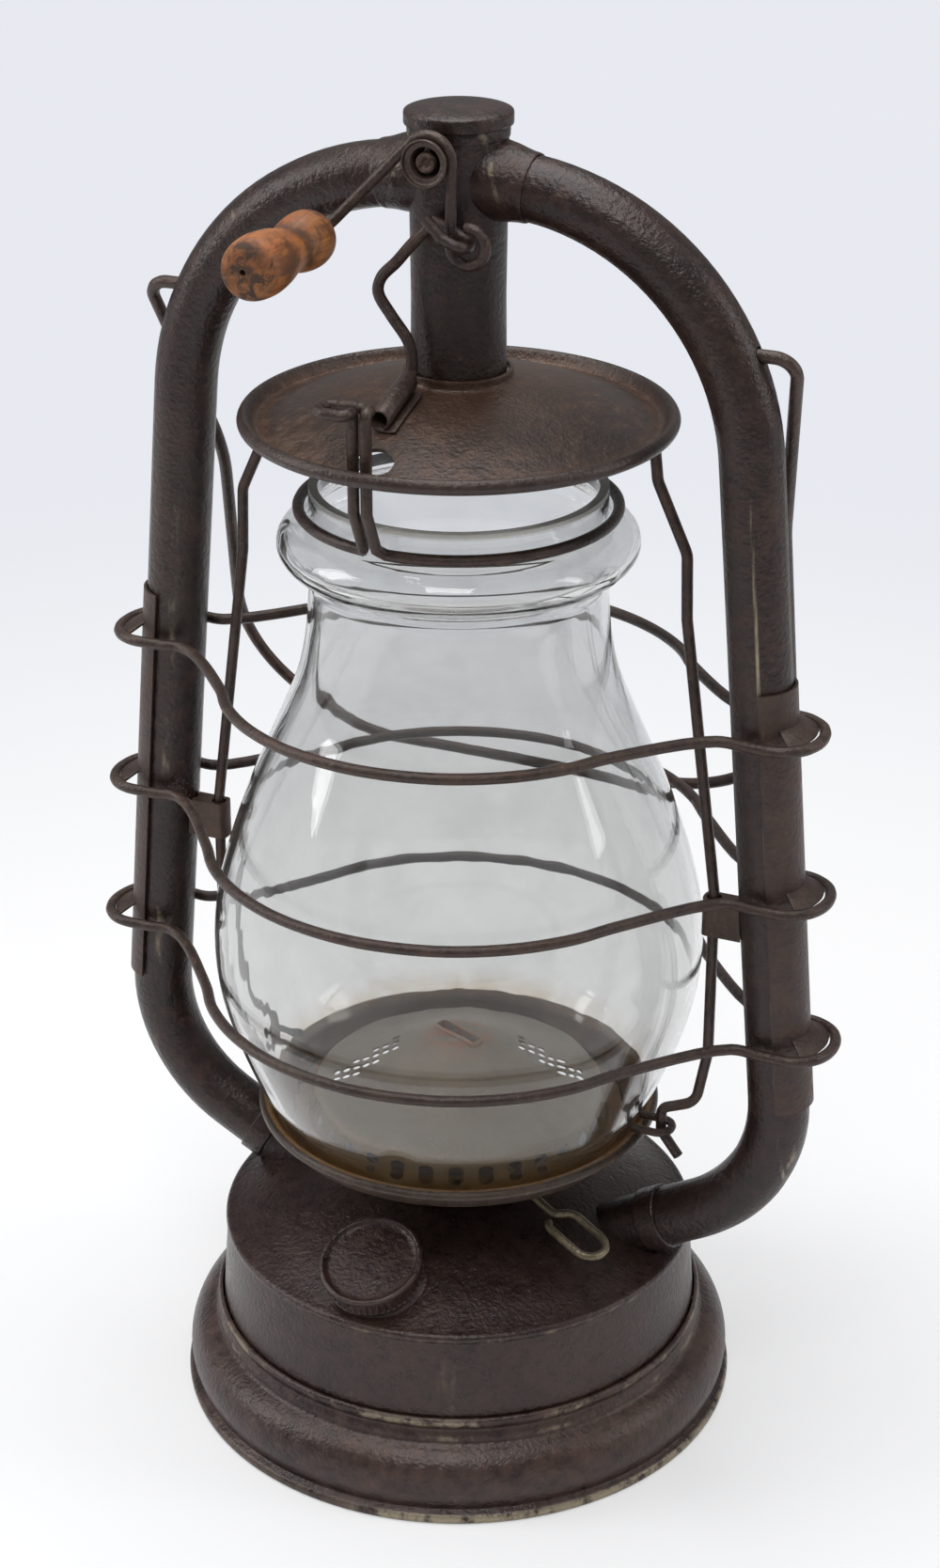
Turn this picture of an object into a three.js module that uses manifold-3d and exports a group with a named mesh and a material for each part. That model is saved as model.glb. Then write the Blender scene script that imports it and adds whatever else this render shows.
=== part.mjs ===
import * as THREE from 'three';
import ManifoldModule from 'manifold-3d';
import { mergeVertices } from 'three/addons/utils/BufferGeometryUtils.js';

const kernel = await ManifoldModule();
kernel.setup();

// Overall clearances and sheet sizes
const seatGap = 0.3;
const slideGap = 0.5;
const sheetWall = 0.7;
const overlap = 1.0;

// Tank and foot
const footRadius = 75.0;
const footHeight = 26.2;
const tankRadius = 64.6;
const tankBottom = 4.0;
const tankCrownHeight = 65.0;
const tankMouthRadius = 20.5;
const tankWall = 0.8;

// Filler
const fillerReach = 49.0;
const fillerTurn = THREE.MathUtils.degToRad(-92);
const fillerTilt = THREE.MathUtils.degToRad(23.5);
const fillerSeatHeight = 54.6;
const fillerNeckRadius = 10.6;
const fillerNeckWall = 0.9;
const fillerNeckDrop = 3.0;
const fillerNeckRise = 5.6;
const fillerCapRadius = 13.5;
const fillerCapHeight = 6.4;
const fillerCapLift = 3.1;
const fillerDish = 1.3;
const knurlDepth = 0.45;
const gasketThickness = 1.2;

// Burner
const collarRadius = 26.5;
const collarHeight = 4.2;
const burnerRadius = 18.6;
const burnerTop = 77.0;
const burnerHoleRadius = 1.5;
const burnerHoleHeight = 68.4;
const wickWidth = 12.5;
const wickThickness = 1.8;
const wickTubeWall = 0.6;
const wickTubeBottom = 60.0;
const wickTubeTop = 97.0;
const wickTop = 99.0;
const wickBottom = 22.0;
const domeBase = 80.5;
const domeRadius = 40.6;
const domeHeight = 22.0;
const domeSlotWidth = 16.5;
const domeSlotDepth = 5.0;
const domeHoleRadius = 1.9;
const domeHoleHeight = 84.2;
const emberHoleRadius = 0.95;
const emberHoleReach = 25.0;
const emberHoleStep = 3.1;
const raiserTurn = THREE.MathUtils.degToRad(-22);
const raiserTilt = THREE.MathUtils.degToRad(15);
const raiserWireRadius = 1.1;
const raiserInnerReach = -5.0;
const raiserHeightAtAxis = 79.4;
const raiserLoopReach = 43.5;
const raiserLoopLength = 17.0;
const raiserLoopWidth = 9.4;
const wheelRadius = 4.4;
const wheelThickness = 1.4;
const wheelReach = 1.0;
const wheelSpike = 0.7;

// Tubes
const tubeRadius = 7.9;
const tubeWall = 0.6;
const tubeTopStart = 11.0;
const tubeTopHeight = 332.4;
const tubeCornerReach = 70.0;
const tubeCornerHeight = 324.9;
const tubeArchBend = 64.0;
const tubeBulgeReach = 91.2;
const tubeBulgeHeight = 78.0;
const tubeElbowCorner = 40.0;
const tubeFootReach = 42.0;
const tubeFootHeight = 51.0;
const centreTubeRadius = 11.8;
const centreTubeBottom = 262.0;
const centreTubeTop = 346.6;
const centreTubeWall = 0.8;
const crownRadius = 12.9;
const crownBottom = 345.2;
const crownTop = 349.6;
const sleeveReach = 19.0;
const sleeveWall = 0.9;

// Guard
const guardWireRadius = 1.45;
const guardHeights = [205.5, 162.5, 122.0];
const guardFrontRadii = [60.0, 65.0, 66.6];
const guardLobe = 15.0;
const stripTop = 217.5;
const stripBottom = 104.0;
const stripWall = 0.7;
const lugThickness = 0.9;

// Carriage
const hoodRadius = 53.6;
const hoodRise = 14.4;
const hoodRimHeight = 272.4;
const hoodSlotReach = 46.4;
const hoodSlotWidth = 8.4;
const hoodSlotDepth = 5.0;
const carrierWireRadius = 1.4;
const carrierTopReach = 50.6;
const carrierTopHeight = 272.1;
const carrierKneeReach = 51.4;
const carrierKneeHeight = 265.0;
const carrierShoulderReach = 59.4;
const carrierShoulderHeight = 247.5;
const carrierWaistHeight = 231.0;
const carrierRunReach = 69.6;
const carrierRunTop = 158.5;
const carrierRunLow = 113.0;
const carrierFootReach = 66.8;
const carrierFootHeight = 97.5;
const carrierHookReach = 57.6;
const carrierHookHeight = 93.6;
const carrierStubReach = 62.6;
const carrierStubHeight = 80.2;
const carrierBend = 6.0;
const carrierHookBend = 2.6;
const earWireRadius = 1.1;
const earReach = 50.8;
const earEnd = 60.4;
const earWidth = 3.6;
const earHeight = 88.0;
const plateRadius = 53.4;
const plateFloor = 79.4;
const plateRimRise = 7.2;
const guideHeight = 10.0;
const guideLevel = 153.0;
const guideWidth = 5.6;
const guideNose = 2.7;
const guideSlot = 0.55;

// Globe
const globeBottom = 80.5;
const globeTop = 257.4;
const globeRadius = 63.7;
const globeWall = 2.2;

// Neck ring
const neckWireRadius = 1.2;
const neckRingRadius = 39.3;
const neckRingHeight = 251.6;
const neckLegCentre = -2.1;
const neckLegSpacing = 3.3;
const neckLegHeight = 264.0;
const neckLoopHeight = 287.0;
const neckLoopLength = 10.6;
const neckLoopWidth = 8.4;
const neckBend = 2.2;

// Lever
const leverWireRadius = 1.35;
const leverHeight = 340.0;
const leverPlane = -17.4;
const bossNeckRadius = 4.2;
const bossRimRadius = 5.9;
const bossRimThickness = 1.3;
const bossBoreRadius = 3.5;
const bossEnd = -20.4;
const bossRoot = -10.5;
const pinRadius = 1.5;
const pinHeadRadius = 2.7;
const pinEnd = -19.2;
const pinHeadThickness = 1.0;
const leverEyeX = 9.8;
const leverEyeDrop = 18.8;
const leverEyeRadius = 4.4;
const gripX = -26.5;
const gripDrop = 18.5;
const gripInner = -23.0;
const gripLength = 35.0;
const gripRadius = 7.2;
const gripBore = 1.7;
const leverBend = 4.5;

// Link and clip
const linkWireRadius = 1.2;
const linkPlane = -14.2;
const linkFrontPlane = -20.8;
const linkFootX = -7.2;
const linkFootEndY = -25.0;
const linkBend = 3.0;
const clipOuterRadius = 2.6;
const clipWall = 0.6;
const clipBackY = -16.6;
const clipFrontY = -33.0;
const clipFlangeWidth = 7.6;
const clipBackZ = 287.1;
const clipDrop = 4.9;

// Bail
const bailWireRadius = 1.6;
const bailPivotHeight = 298.6;
const bailInnerReach = 71.0;
const bailEarReach = 84.5;
const bailWaistReach = 76.5;
const bailWaistDrop = 55.0;
const bailSpread = 82.0;
const bailSkew = 12.0;
const bailLength = 158.0;
const bailCorner = 42.0;
const bailEarBend = 5.0;
const bailWaistBend = 60.0;
const bailRestLean = THREE.MathUtils.degToRad(24.3);

const sheetShares = {
  foot: [
    [0.868, 1.0], [0.882, 0.975], [0.873, 0.87], [0.888, 0.76], [0.925, 0.69], [0.962, 0.60],
    [0.984, 0.46], [0.989, 0.32], [0.974, 0.14], [0.998, 0.08], [1.0, 0.0], [0.966, 0.0],
    [0.957, 0.14], [0.964, 0.36], [0.938, 0.56], [0.868, 0.70],
  ],
  tank: [
    [0.0, 0.0], [0.965, 0.0], [1.0, 0.05], [0.998, 0.36], [0.974, 0.70], [0.981, 0.725],
    [0.968, 0.746], [0.90, 0.772], [0.72, 0.854], [0.54, 0.932], [0.39, 0.988],
  ],
  hood: [
    [0.246, 1.0], [0.247, 0.86], [0.30, 0.80], [0.45, 0.665], [0.62, 0.475], [0.80, 0.225],
    [0.905, 0.08], [0.935, 0.15], [0.958, 0.26], [0.985, 0.26], [1.0, 0.145], [0.988, 0.03],
    [0.944, 0.02], [0.80, 0.165], [0.62, 0.415], [0.30, 0.742], [0.2296, 0.80], [0.2296, 1.0],
  ],
  plate: [
    [0.72, 0.0], [0.885, 0.0], [0.915, 0.09], [0.950, 0.60], [0.985, 0.64], [1.0, 0.80],
    [0.985, 0.98], [0.952, 0.97], [0.936, 0.80], [0.902, 0.21], [0.877, 0.111], [0.72, 0.111],
  ],
  dome: [
    [1.0, 0.0], [0.955, 0.32], [0.92, 0.385], [0.62, 0.60], [0.40, 0.80], [0.24, 0.94], [0.13, 1.0],
    [0.0, 1.0],
  ],
};

const globeShares = [
  [0.735, 0.0], [0.829, 0.068], [0.915, 0.145], [0.978, 0.225], [1.0, 0.299], [0.982, 0.375],
  [0.930, 0.450], [0.808, 0.569], [0.690, 0.668], [0.618, 0.745], [0.588, 0.827], [0.592, 0.868],
  [0.665, 0.890], [0.704, 0.915], [0.680, 0.941], [0.588, 0.960], [0.577, 1.0],
];

const gripShares = [
  [0.0, 0.0], [0.80, 0.0], [0.92, 0.03], [0.97, 0.12], [0.93, 0.24], [0.80, 0.36], [0.78, 0.42],
  [0.86, 0.52], [0.97, 0.66], [1.0, 0.80], [0.95, 0.93], [0.88, 0.98], [0.80, 1.0], [0.0, 1.0],
];

// How finely round bodies are divided
const wideRound = 36;
const midRound = 28;
const smallRound = 16;
const tubeSides = 12;
const wireSides = 6;
const bendStep = 0.5;
const bendSag = 0.3;
const sharedRun = 0.49;
const endRun = 0.98;

const group = new THREE.Group();
group.name = 'barn_lantern';

function vec(x, y, z) {
  return new THREE.Vector3(x, y, z);
}

function soup(geometry) {
  const bare = new THREE.BufferGeometry();
  bare.setAttribute('position', geometry.getAttribute('position').clone());
  if (geometry.index) bare.setIndex(geometry.index.clone());
  return mergeVertices(bare, 1e-4);
}

function toSolid(geometry) {
  const clean = soup(geometry);
  const positions = clean.getAttribute('position').array;
  const index = clean.index.array;
  const triangles = [];
  for (let i = 0; i < index.length; i += 3) {
    const [a, b, c] = [index[i], index[i + 1], index[i + 2]];
    if (a !== b && b !== c && c !== a) triangles.push(a, b, c);
  }
  let volume = 0;
  const corner = (i) => vec(positions[3 * i], positions[3 * i + 1], positions[3 * i + 2]);
  for (let i = 0; i < triangles.length; i += 3) {
    const [a, b, c] = [corner(triangles[i]), corner(triangles[i + 1]), corner(triangles[i + 2])];
    volume += a.dot(b.cross(c));
  }
  if (volume < 0) {
    for (let i = 0; i < triangles.length; i += 3) {
      [triangles[i + 1], triangles[i + 2]] = [triangles[i + 2], triangles[i + 1]];
    }
  }
  const mesh = new kernel.Mesh({
    numProp: 3,
    vertProperties: Float32Array.from(positions),
    triVerts: Uint32Array.from(triangles),
  });
  mesh.merge();
  return new kernel.Manifold(mesh);
}

function toGeometry(solid) {
  const mesh = solid.getMesh();
  const geometry = new THREE.BufferGeometry();
  geometry.setAttribute('position', new THREE.BufferAttribute(Float32Array.from(mesh.vertProperties), 3));
  geometry.setIndex(new THREE.BufferAttribute(Uint32Array.from(mesh.triVerts), 1));
  geometry.computeVertexNormals();
  return geometry;
}

function addPart(name, solid, look, parent) {
  const material = new THREE.MeshStandardMaterial({
    color: look.color,
    roughness: look.roughness,
    metalness: look.metalness,
  });
  const mesh = new THREE.Mesh(toGeometry(solid), material);
  mesh.name = name;
  parent.add(mesh);
  return mesh;
}

function addGroup(name, parent) {
  const child = new THREE.Group();
  child.name = name;
  parent.add(child);
  return child;
}

// Round body about the upright axis, from pairs of radius and height
function turned(pairs, segments) {
  const points = pairs.map(([r, z]) => new THREE.Vector2(r, z));
  const geometry = new THREE.LatheGeometry(points, segments);
  geometry.rotateX(Math.PI / 2);
  return toSolid(geometry);
}

function scaled(shares, radius, base, height) {
  return shares.map(([r, z]) => [r * radius, base + z * height]);
}

// Profile moved to its inner side by a wall thickness
function inset(pairs, wall) {
  return pairs.map(([r, z], i) => {
    const before = pairs[Math.max(i - 1, 0)];
    const after = pairs[Math.min(i + 1, pairs.length - 1)];
    const along = new THREE.Vector2(after[0] - before[0], after[1] - before[1]).normalize();
    return [Math.max(r - along.y * wall, 0), z + along.x * wall];
  });
}

function closedRing(pairs) {
  return [...pairs, pairs[0]];
}

// Straight runs joined by round bends
function bent(corners, radii) {
  const path = [corners[0].clone()];
  for (let i = 1; i < corners.length - 1; i += 1) {
    const radius = Array.isArray(radii) ? radii[i - 1] : radii;
    const toward = corners[i - 1].clone().sub(corners[i]);
    const away = corners[i + 1].clone().sub(corners[i]);
    const before = toward.length() * (i > 1 ? sharedRun : endRun);
    const after = away.length() * (i < corners.length - 2 ? sharedRun : endRun);
    toward.normalize();
    away.normalize();
    const angle = Math.PI - toward.angleTo(away);
    if (angle < 0.02) {
      path.push(corners[i].clone());
      continue;
    }
    const trim = Math.min(radius * Math.tan(angle / 2), before, after);
    const bend = trim / Math.tan(angle / 2);
    const middle = toward.clone().add(away).normalize();
    const centre = corners[i].clone().addScaledVector(middle, bend / Math.cos(angle / 2));
    const from = corners[i].clone().addScaledVector(toward, trim).sub(centre);
    const to = corners[i].clone().addScaledVector(away, trim).sub(centre);
    const step = Math.min(bendStep, 2 * Math.acos(1 - bendSag / Math.max(bend, bendSag)));
    const steps = Math.max(2, Math.ceil(angle / step));
    const axis = from.clone().cross(to).normalize();
    for (let s = 0; s <= steps; s += 1) {
      path.push(from.clone().applyAxisAngle(axis, (angle * s) / steps).add(centre));
    }
  }
  path.push(corners[corners.length - 1].clone());
  return path;
}

// Frames carried along a path without twist
function frames(path, loop) {
  const count = path.length;
  const tangents = path.map((point, i) => {
    const before = loop ? path[(i + count - 1) % count] : path[Math.max(i - 1, 0)];
    const after = loop ? path[(i + 1) % count] : path[Math.min(i + 1, count - 1)];
    return after.clone().sub(before).normalize();
  });
  const start = Math.abs(tangents[0].z) < 0.9 ? vec(0, 0, 1) : vec(0, 1, 0);
  let normal = start.addScaledVector(tangents[0], -start.dot(tangents[0])).normalize();
  const carried = path.map((point, i) => {
    if (i > 0) {
      const turn = new THREE.Quaternion().setFromUnitVectors(tangents[i - 1], tangents[i]);
      normal = normal.clone().applyQuaternion(turn);
      normal.addScaledVector(tangents[i], -normal.dot(tangents[i])).normalize();
    }
    return { point, normal: normal.clone(), side: tangents[i].clone().cross(normal) };
  });
  if (!loop) return carried;
  const home = new THREE.Quaternion().setFromUnitVectors(tangents[count - 1], tangents[0]);
  const last = carried[count - 1].normal.clone().applyQuaternion(home);
  const twist = Math.atan2(last.dot(carried[0].side), last.dot(carried[0].normal));
  return carried.map((frame, i) => {
    const turned = frame.normal.clone().applyAxisAngle(tangents[i], (-twist * i) / count);
    return { point: frame.point, normal: turned, side: tangents[i].clone().cross(turned) };
  });
}

function ringOf(frame, radius, sides) {
  const ring = [];
  for (let k = 0; k < sides; k += 1) {
    const a = (2 * Math.PI * k) / sides;
    ring.push(frame.point.clone()
      .addScaledVector(frame.normal, radius * Math.cos(a))
      .addScaledVector(frame.side, radius * Math.sin(a)));
  }
  return ring;
}

function skin(rings, sides, loop, closeEnds) {
  const positions = [];
  const index = [];
  rings.forEach((ring) => ring.forEach((p) => positions.push(p.x, p.y, p.z)));
  const last = loop ? rings.length : rings.length - 1;
  for (let i = 0; i < last; i += 1) {
    for (let k = 0; k < sides; k += 1) {
      const a = i * sides + k;
      const b = i * sides + ((k + 1) % sides);
      const c = ((i + 1) % rings.length) * sides + k;
      const d = ((i + 1) % rings.length) * sides + ((k + 1) % sides);
      index.push(a, b, c, b, d, c);
    }
  }
  if (closeEnds) {
    const end = (rings.length - 1) * sides;
    for (let k = 1; k < sides - 1; k += 1) {
      index.push(0, k + 1, k);
      index.push(end, end + k, end + k + 1);
    }
  }
  const geometry = new THREE.BufferGeometry();
  geometry.setAttribute('position', new THREE.Float32BufferAttribute(positions, 3));
  geometry.setIndex(index);
  return geometry;
}

function wire(path, radius, sides, loop = false) {
  const rings = frames(path, loop).map((frame) => ringOf(frame, radius, sides));
  return toSolid(skin(rings, sides, loop, !loop));
}

function rod(from, to, radius, sides) {
  return wire([from, to], radius, sides);
}

function plateOf(shape, thickness, matrix) {
  const settings = { depth: thickness, bevelEnabled: false, curveSegments: 6 };
  const geometry = new THREE.ExtrudeGeometry(shape, settings);
  geometry.applyMatrix4(matrix);
  return toSolid(geometry);
}

const tin = { color: 0x3c302c, roughness: 0.5, metalness: 0.55 };
const rust = { color: 0x55402f, roughness: 0.65, metalness: 0.4 };
const darkWire = { color: 0x382b27, roughness: 0.55, metalness: 0.5 };
const brass = { color: 0x7a6242, roughness: 0.5, metalness: 0.7 };
const wood = { color: 0x9a5a25, roughness: 0.7, metalness: 0.0 };
const glass = { color: 0xdfe6e4, roughness: 0.05, metalness: 0.0 };
const cotton = { color: 0xb08a5a, roughness: 0.95, metalness: 0.0 };
const cork = { color: 0x6d5238, roughness: 0.9, metalness: 0.0 };

const sideSigns = { right: 1, left: -1 };
const tankHeight = (tankCrownHeight - tankBottom) / 0.988;
const tankOuter = scaled(sheetShares.tank, tankRadius, tankBottom, tankHeight);

// Foot skirt
const foot = closedRing(scaled(sheetShares.foot, footRadius, 0, footHeight));
addPart('base_foot', turned(foot, wideRound), tin, group);

// Fuel tank, open at the burner mouth and at the filler
const tankProfile = [...tankOuter, [tankMouthRadius, tankCrownHeight + tankWall / 2]];
const tankShell = [...tankProfile, ...inset(tankProfile, tankWall).reverse()];
const fillerDir = vec(
  Math.sin(fillerTilt) * Math.cos(fillerTurn),
  Math.sin(fillerTilt) * Math.sin(fillerTurn),
  Math.cos(fillerTilt),
);
const fillerSeat = vec(
  fillerReach * Math.cos(fillerTurn),
  fillerReach * Math.sin(fillerTurn),
  fillerSeatHeight,
);
const along = (distance) => fillerSeat.clone().addScaledVector(fillerDir, distance);
const fillerHole = rod(
  along(-fillerNeckDrop - overlap),
  along(fillerNeckRise),
  fillerNeckRadius + seatGap,
  midRound,
);
addPart('fuel_tank', turned(tankShell, wideRound).subtract(fillerHole), tin, group);

// Filler neck, cap and gasket along the tilted filler axis
function onFiller(solid, parent, name, look) {
  const placed = toGeometry(solid);
  const turn = new THREE.Quaternion().setFromUnitVectors(vec(0, 0, 1), fillerDir);
  placed.applyMatrix4(new THREE.Matrix4().makeRotationFromQuaternion(turn));
  placed.translate(fillerSeat.x, fillerSeat.y, fillerSeat.z);
  return addPart(name, toSolid(placed), look, parent);
}
const neckInner = fillerNeckRadius - fillerNeckWall;
const neckLip = fillerNeckRadius + knurlDepth;
onFiller(turned(closedRing([
  [neckInner, -fillerNeckDrop],
  [fillerNeckRadius, -fillerNeckDrop],
  [fillerNeckRadius, fillerNeckRise * 0.5],
  [neckLip, fillerNeckRise * 0.6],
  [fillerNeckRadius, fillerNeckRise * 0.7],
  [neckLip, fillerNeckRise * 0.8],
  [fillerNeckRadius, fillerNeckRise * 0.9],
  [fillerNeckRadius, fillerNeckRise],
  [neckInner, fillerNeckRise],
]), smallRound), group, 'filler_neck', tin);

const capTop = fillerCapLift + fillerCapHeight;
const capInner = neckLip + seatGap;
const capCeiling = fillerNeckRise + gasketThickness + 2 * seatGap;
const capGroup = addGroup('filler_closure', group);
const capSmooth = turned([
  [0, capTop - fillerDish],
  [fillerCapRadius * 0.55, capTop - fillerDish * 0.85],
  [fillerCapRadius * 0.82, capTop - fillerDish * 0.3],
  [fillerCapRadius * 0.9, capTop],
  [fillerCapRadius * 0.97, capTop - fillerCapHeight * 0.06],
  [fillerCapRadius, capTop - fillerCapHeight * 0.18],
  [fillerCapRadius * 0.985, capTop - fillerCapHeight * 0.3],
  [fillerCapRadius * 0.95, capTop - fillerCapHeight * 0.36],
  [fillerCapRadius * 0.95, fillerCapLift],
  [capInner, fillerCapLift],
  [capInner, capCeiling],
  [0, capCeiling],
], midRound);
const knurls = [];
for (let k = 0; k < 20; k += 1) {
  const a = (2 * Math.PI * k) / 20;
  const reach = fillerCapRadius * 0.95 + knurlDepth * 0.4;
  const low = vec(reach * Math.cos(a), reach * Math.sin(a), fillerCapLift - overlap);
  const high = vec(low.x, low.y, capTop - fillerCapHeight * 0.4);
  knurls.push(rod(low, high, knurlDepth, 4));
}
onFiller(capSmooth.subtract(kernel.Manifold.union(knurls)), capGroup, 'filler_cap', tin);
onFiller(turned(closedRing([
  [neckInner * 0.6, fillerNeckRise + seatGap],
  [fillerNeckRadius, fillerNeckRise + seatGap],
  [fillerNeckRadius, fillerNeckRise + seatGap + gasketThickness],
  [neckInner * 0.6, fillerNeckRise + seatGap + gasketThickness],
]), smallRound), capGroup, 'filler_gasket', cork);

// Burner collar and body
const collarBase = tankCrownHeight + tankWall / 2 + seatGap;
addPart('burner_collar', turned(closedRing([
  [burnerRadius + seatGap, collarBase],
  [collarRadius * 0.93, collarBase],
  [collarRadius, collarBase + collarHeight * 0.2],
  [collarRadius, collarBase + collarHeight * 0.6],
  [collarRadius * 0.97, collarBase + collarHeight * 0.75],
  [collarRadius * 0.9, collarBase + collarHeight * 0.8],
  [collarRadius * 0.86, collarBase + collarHeight],
  [burnerRadius + seatGap, collarBase + collarHeight],
]), midRound), tin, group);

const raiserDir = vec(
  Math.cos(raiserTilt) * Math.cos(raiserTurn),
  Math.cos(raiserTilt) * Math.sin(raiserTurn),
  -Math.sin(raiserTilt),
);
const raiserSide = vec(-Math.sin(raiserTurn), Math.cos(raiserTurn), 0);
const raiserOffset = wickThickness / 2 + seatGap + wheelSpike + wheelRadius;
const raiserOrigin = raiserSide.clone().multiplyScalar(-raiserOffset).setZ(raiserHeightAtAxis);
const onRaiser = (distance) => raiserOrigin.clone().addScaledVector(raiserDir, distance);
const tubeHalfWidth = wickWidth / 2 + seatGap + wickTubeWall;
const tubeHalfDepth = wickThickness / 2 + seatGap + wickTubeWall;

function slab(halfWidth, halfDepth, bottom, top) {
  const shape = new THREE.Shape();
  shape.moveTo(-halfWidth, -halfDepth);
  shape.lineTo(halfWidth, -halfDepth);
  shape.lineTo(halfWidth, halfDepth);
  shape.lineTo(-halfWidth, halfDepth);
  shape.closePath();
  return plateOf(shape, top - bottom, new THREE.Matrix4().makeTranslation(0, 0, bottom));
}
const slotBottom = wickTubeBottom - overlap;
const wickSlot = slab(tubeHalfWidth + seatGap, tubeHalfDepth + seatGap, slotBottom, wickTubeTop);
const turnWick = (solid) => solid.rotate([0, 0, THREE.MathUtils.radToDeg(raiserTurn)]);
const bodyWall = sheetWall * 1.2;
const burnerBottom = tankCrownHeight - collarHeight;
const wheelCut = rod(
  onRaiser(wheelReach - wheelThickness),
  onRaiser(wheelReach + wheelThickness),
  wheelRadius + wheelSpike + seatGap,
  20,
);
const spindleCut = rod(onRaiser(wheelReach), onRaiser(raiserLoopReach), raiserWireRadius * 1.6, 10);
let burnerBody = turned([
  [0, burnerTop],
  [burnerRadius * 0.86, burnerTop],
  [burnerRadius, burnerTop - collarHeight * 0.4],
  [burnerRadius, burnerBottom],
  [burnerRadius - bodyWall, burnerBottom],
  [burnerRadius - bodyWall, burnerTop - collarHeight * 0.5],
  [burnerRadius * 0.82, burnerTop - bodyWall],
  [0, burnerTop - bodyWall],
], midRound);
const burnerCuts = [turnWick(wickSlot), spindleCut, wheelCut];
for (let k = 0; k < 8; k += 1) {
  const a = (2 * Math.PI * (k + 0.5)) / 8;
  const reach = vec(burnerRadius * 1.2 * Math.cos(a), burnerRadius * 1.2 * Math.sin(a), burnerHoleHeight);
  reach.z += collarHeight * 0.9;
  const inner = vec(reach.x * 0.6, reach.y * 0.6, reach.z);
  burnerCuts.push(rod(inner, reach, burnerHoleRadius, 6));
}
burnerBody = burnerBody.subtract(kernel.Manifold.union(burnerCuts));
addPart('burner_body', burnerBody, brass, group);

// Wick tube, wick and raiser
const wickTube = slab(tubeHalfWidth, tubeHalfDepth, wickTubeBottom, wickTubeTop).subtract(slab(
  tubeHalfWidth - wickTubeWall,
  tubeHalfDepth - wickTubeWall,
  wickTubeBottom - overlap,
  wickTubeTop + overlap,
));
addPart('wick_tube', turnWick(wickTube).subtract(wheelCut), brass, group);
const wickGroup = addGroup('wick_run', group);
addPart('wick', turnWick(slab(wickWidth / 2, wickThickness / 2, wickBottom, wickTop)), cotton, wickGroup);

const raiserGroup = addGroup('wick_raiser_set', group);
const loopStart = onRaiser(raiserLoopReach);
const loopPoint = (distance, sideways) => loopStart.clone()
  .addScaledVector(raiserDir, distance)
  .addScaledVector(raiserSide, sideways);
const spindlePath = bent([
  onRaiser(raiserInnerReach),
  loopPoint(0, 0),
  loopPoint(raiserWireRadius * 2, raiserLoopWidth / 2),
  loopPoint(raiserLoopLength, raiserLoopWidth / 2),
  loopPoint(raiserLoopLength, -raiserLoopWidth / 2),
  loopPoint(raiserWireRadius * 2, -raiserLoopWidth / 2),
  loopPoint(raiserWireRadius, -raiserWireRadius * 3),
], [raiserWireRadius * 2, raiserLoopWidth * 0.4, raiserLoopWidth * 0.48, raiserLoopWidth * 0.48,
  raiserLoopWidth * 0.3]);
addPart('wick_raiser', wire(spindlePath, raiserWireRadius, wireSides), brass, raiserGroup);
const spikes = [];
const spikeFrame = new THREE.Quaternion().setFromUnitVectors(vec(0, 0, 1), raiserDir);
for (let k = 0; k < 8; k += 1) {
  const a = (2 * Math.PI * k) / 8;
  const outward = vec(Math.cos(a), Math.sin(a), 0).applyQuaternion(spikeFrame);
  const root = onRaiser(wheelReach).addScaledVector(outward, wheelRadius * 0.7);
  const tip = onRaiser(wheelReach).addScaledVector(outward, wheelRadius + wheelSpike);
  spikes.push(rod(root, tip, wheelThickness * 0.3, 4));
}
const wheelBody = rod(
  onRaiser(wheelReach - wheelThickness / 2),
  onRaiser(wheelReach + wheelThickness / 2),
  wheelRadius,
  smallRound,
);
const wheelBore = rod(
  onRaiser(-wheelThickness * 2),
  onRaiser(wheelReach + wheelThickness * 2),
  raiserWireRadius + seatGap / 2,
  12,
);
const wheel = kernel.Manifold.union([wheelBody, ...spikes]).subtract(wheelBore);
addPart('raiser_wheel', wheel, brass, raiserGroup);

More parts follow.
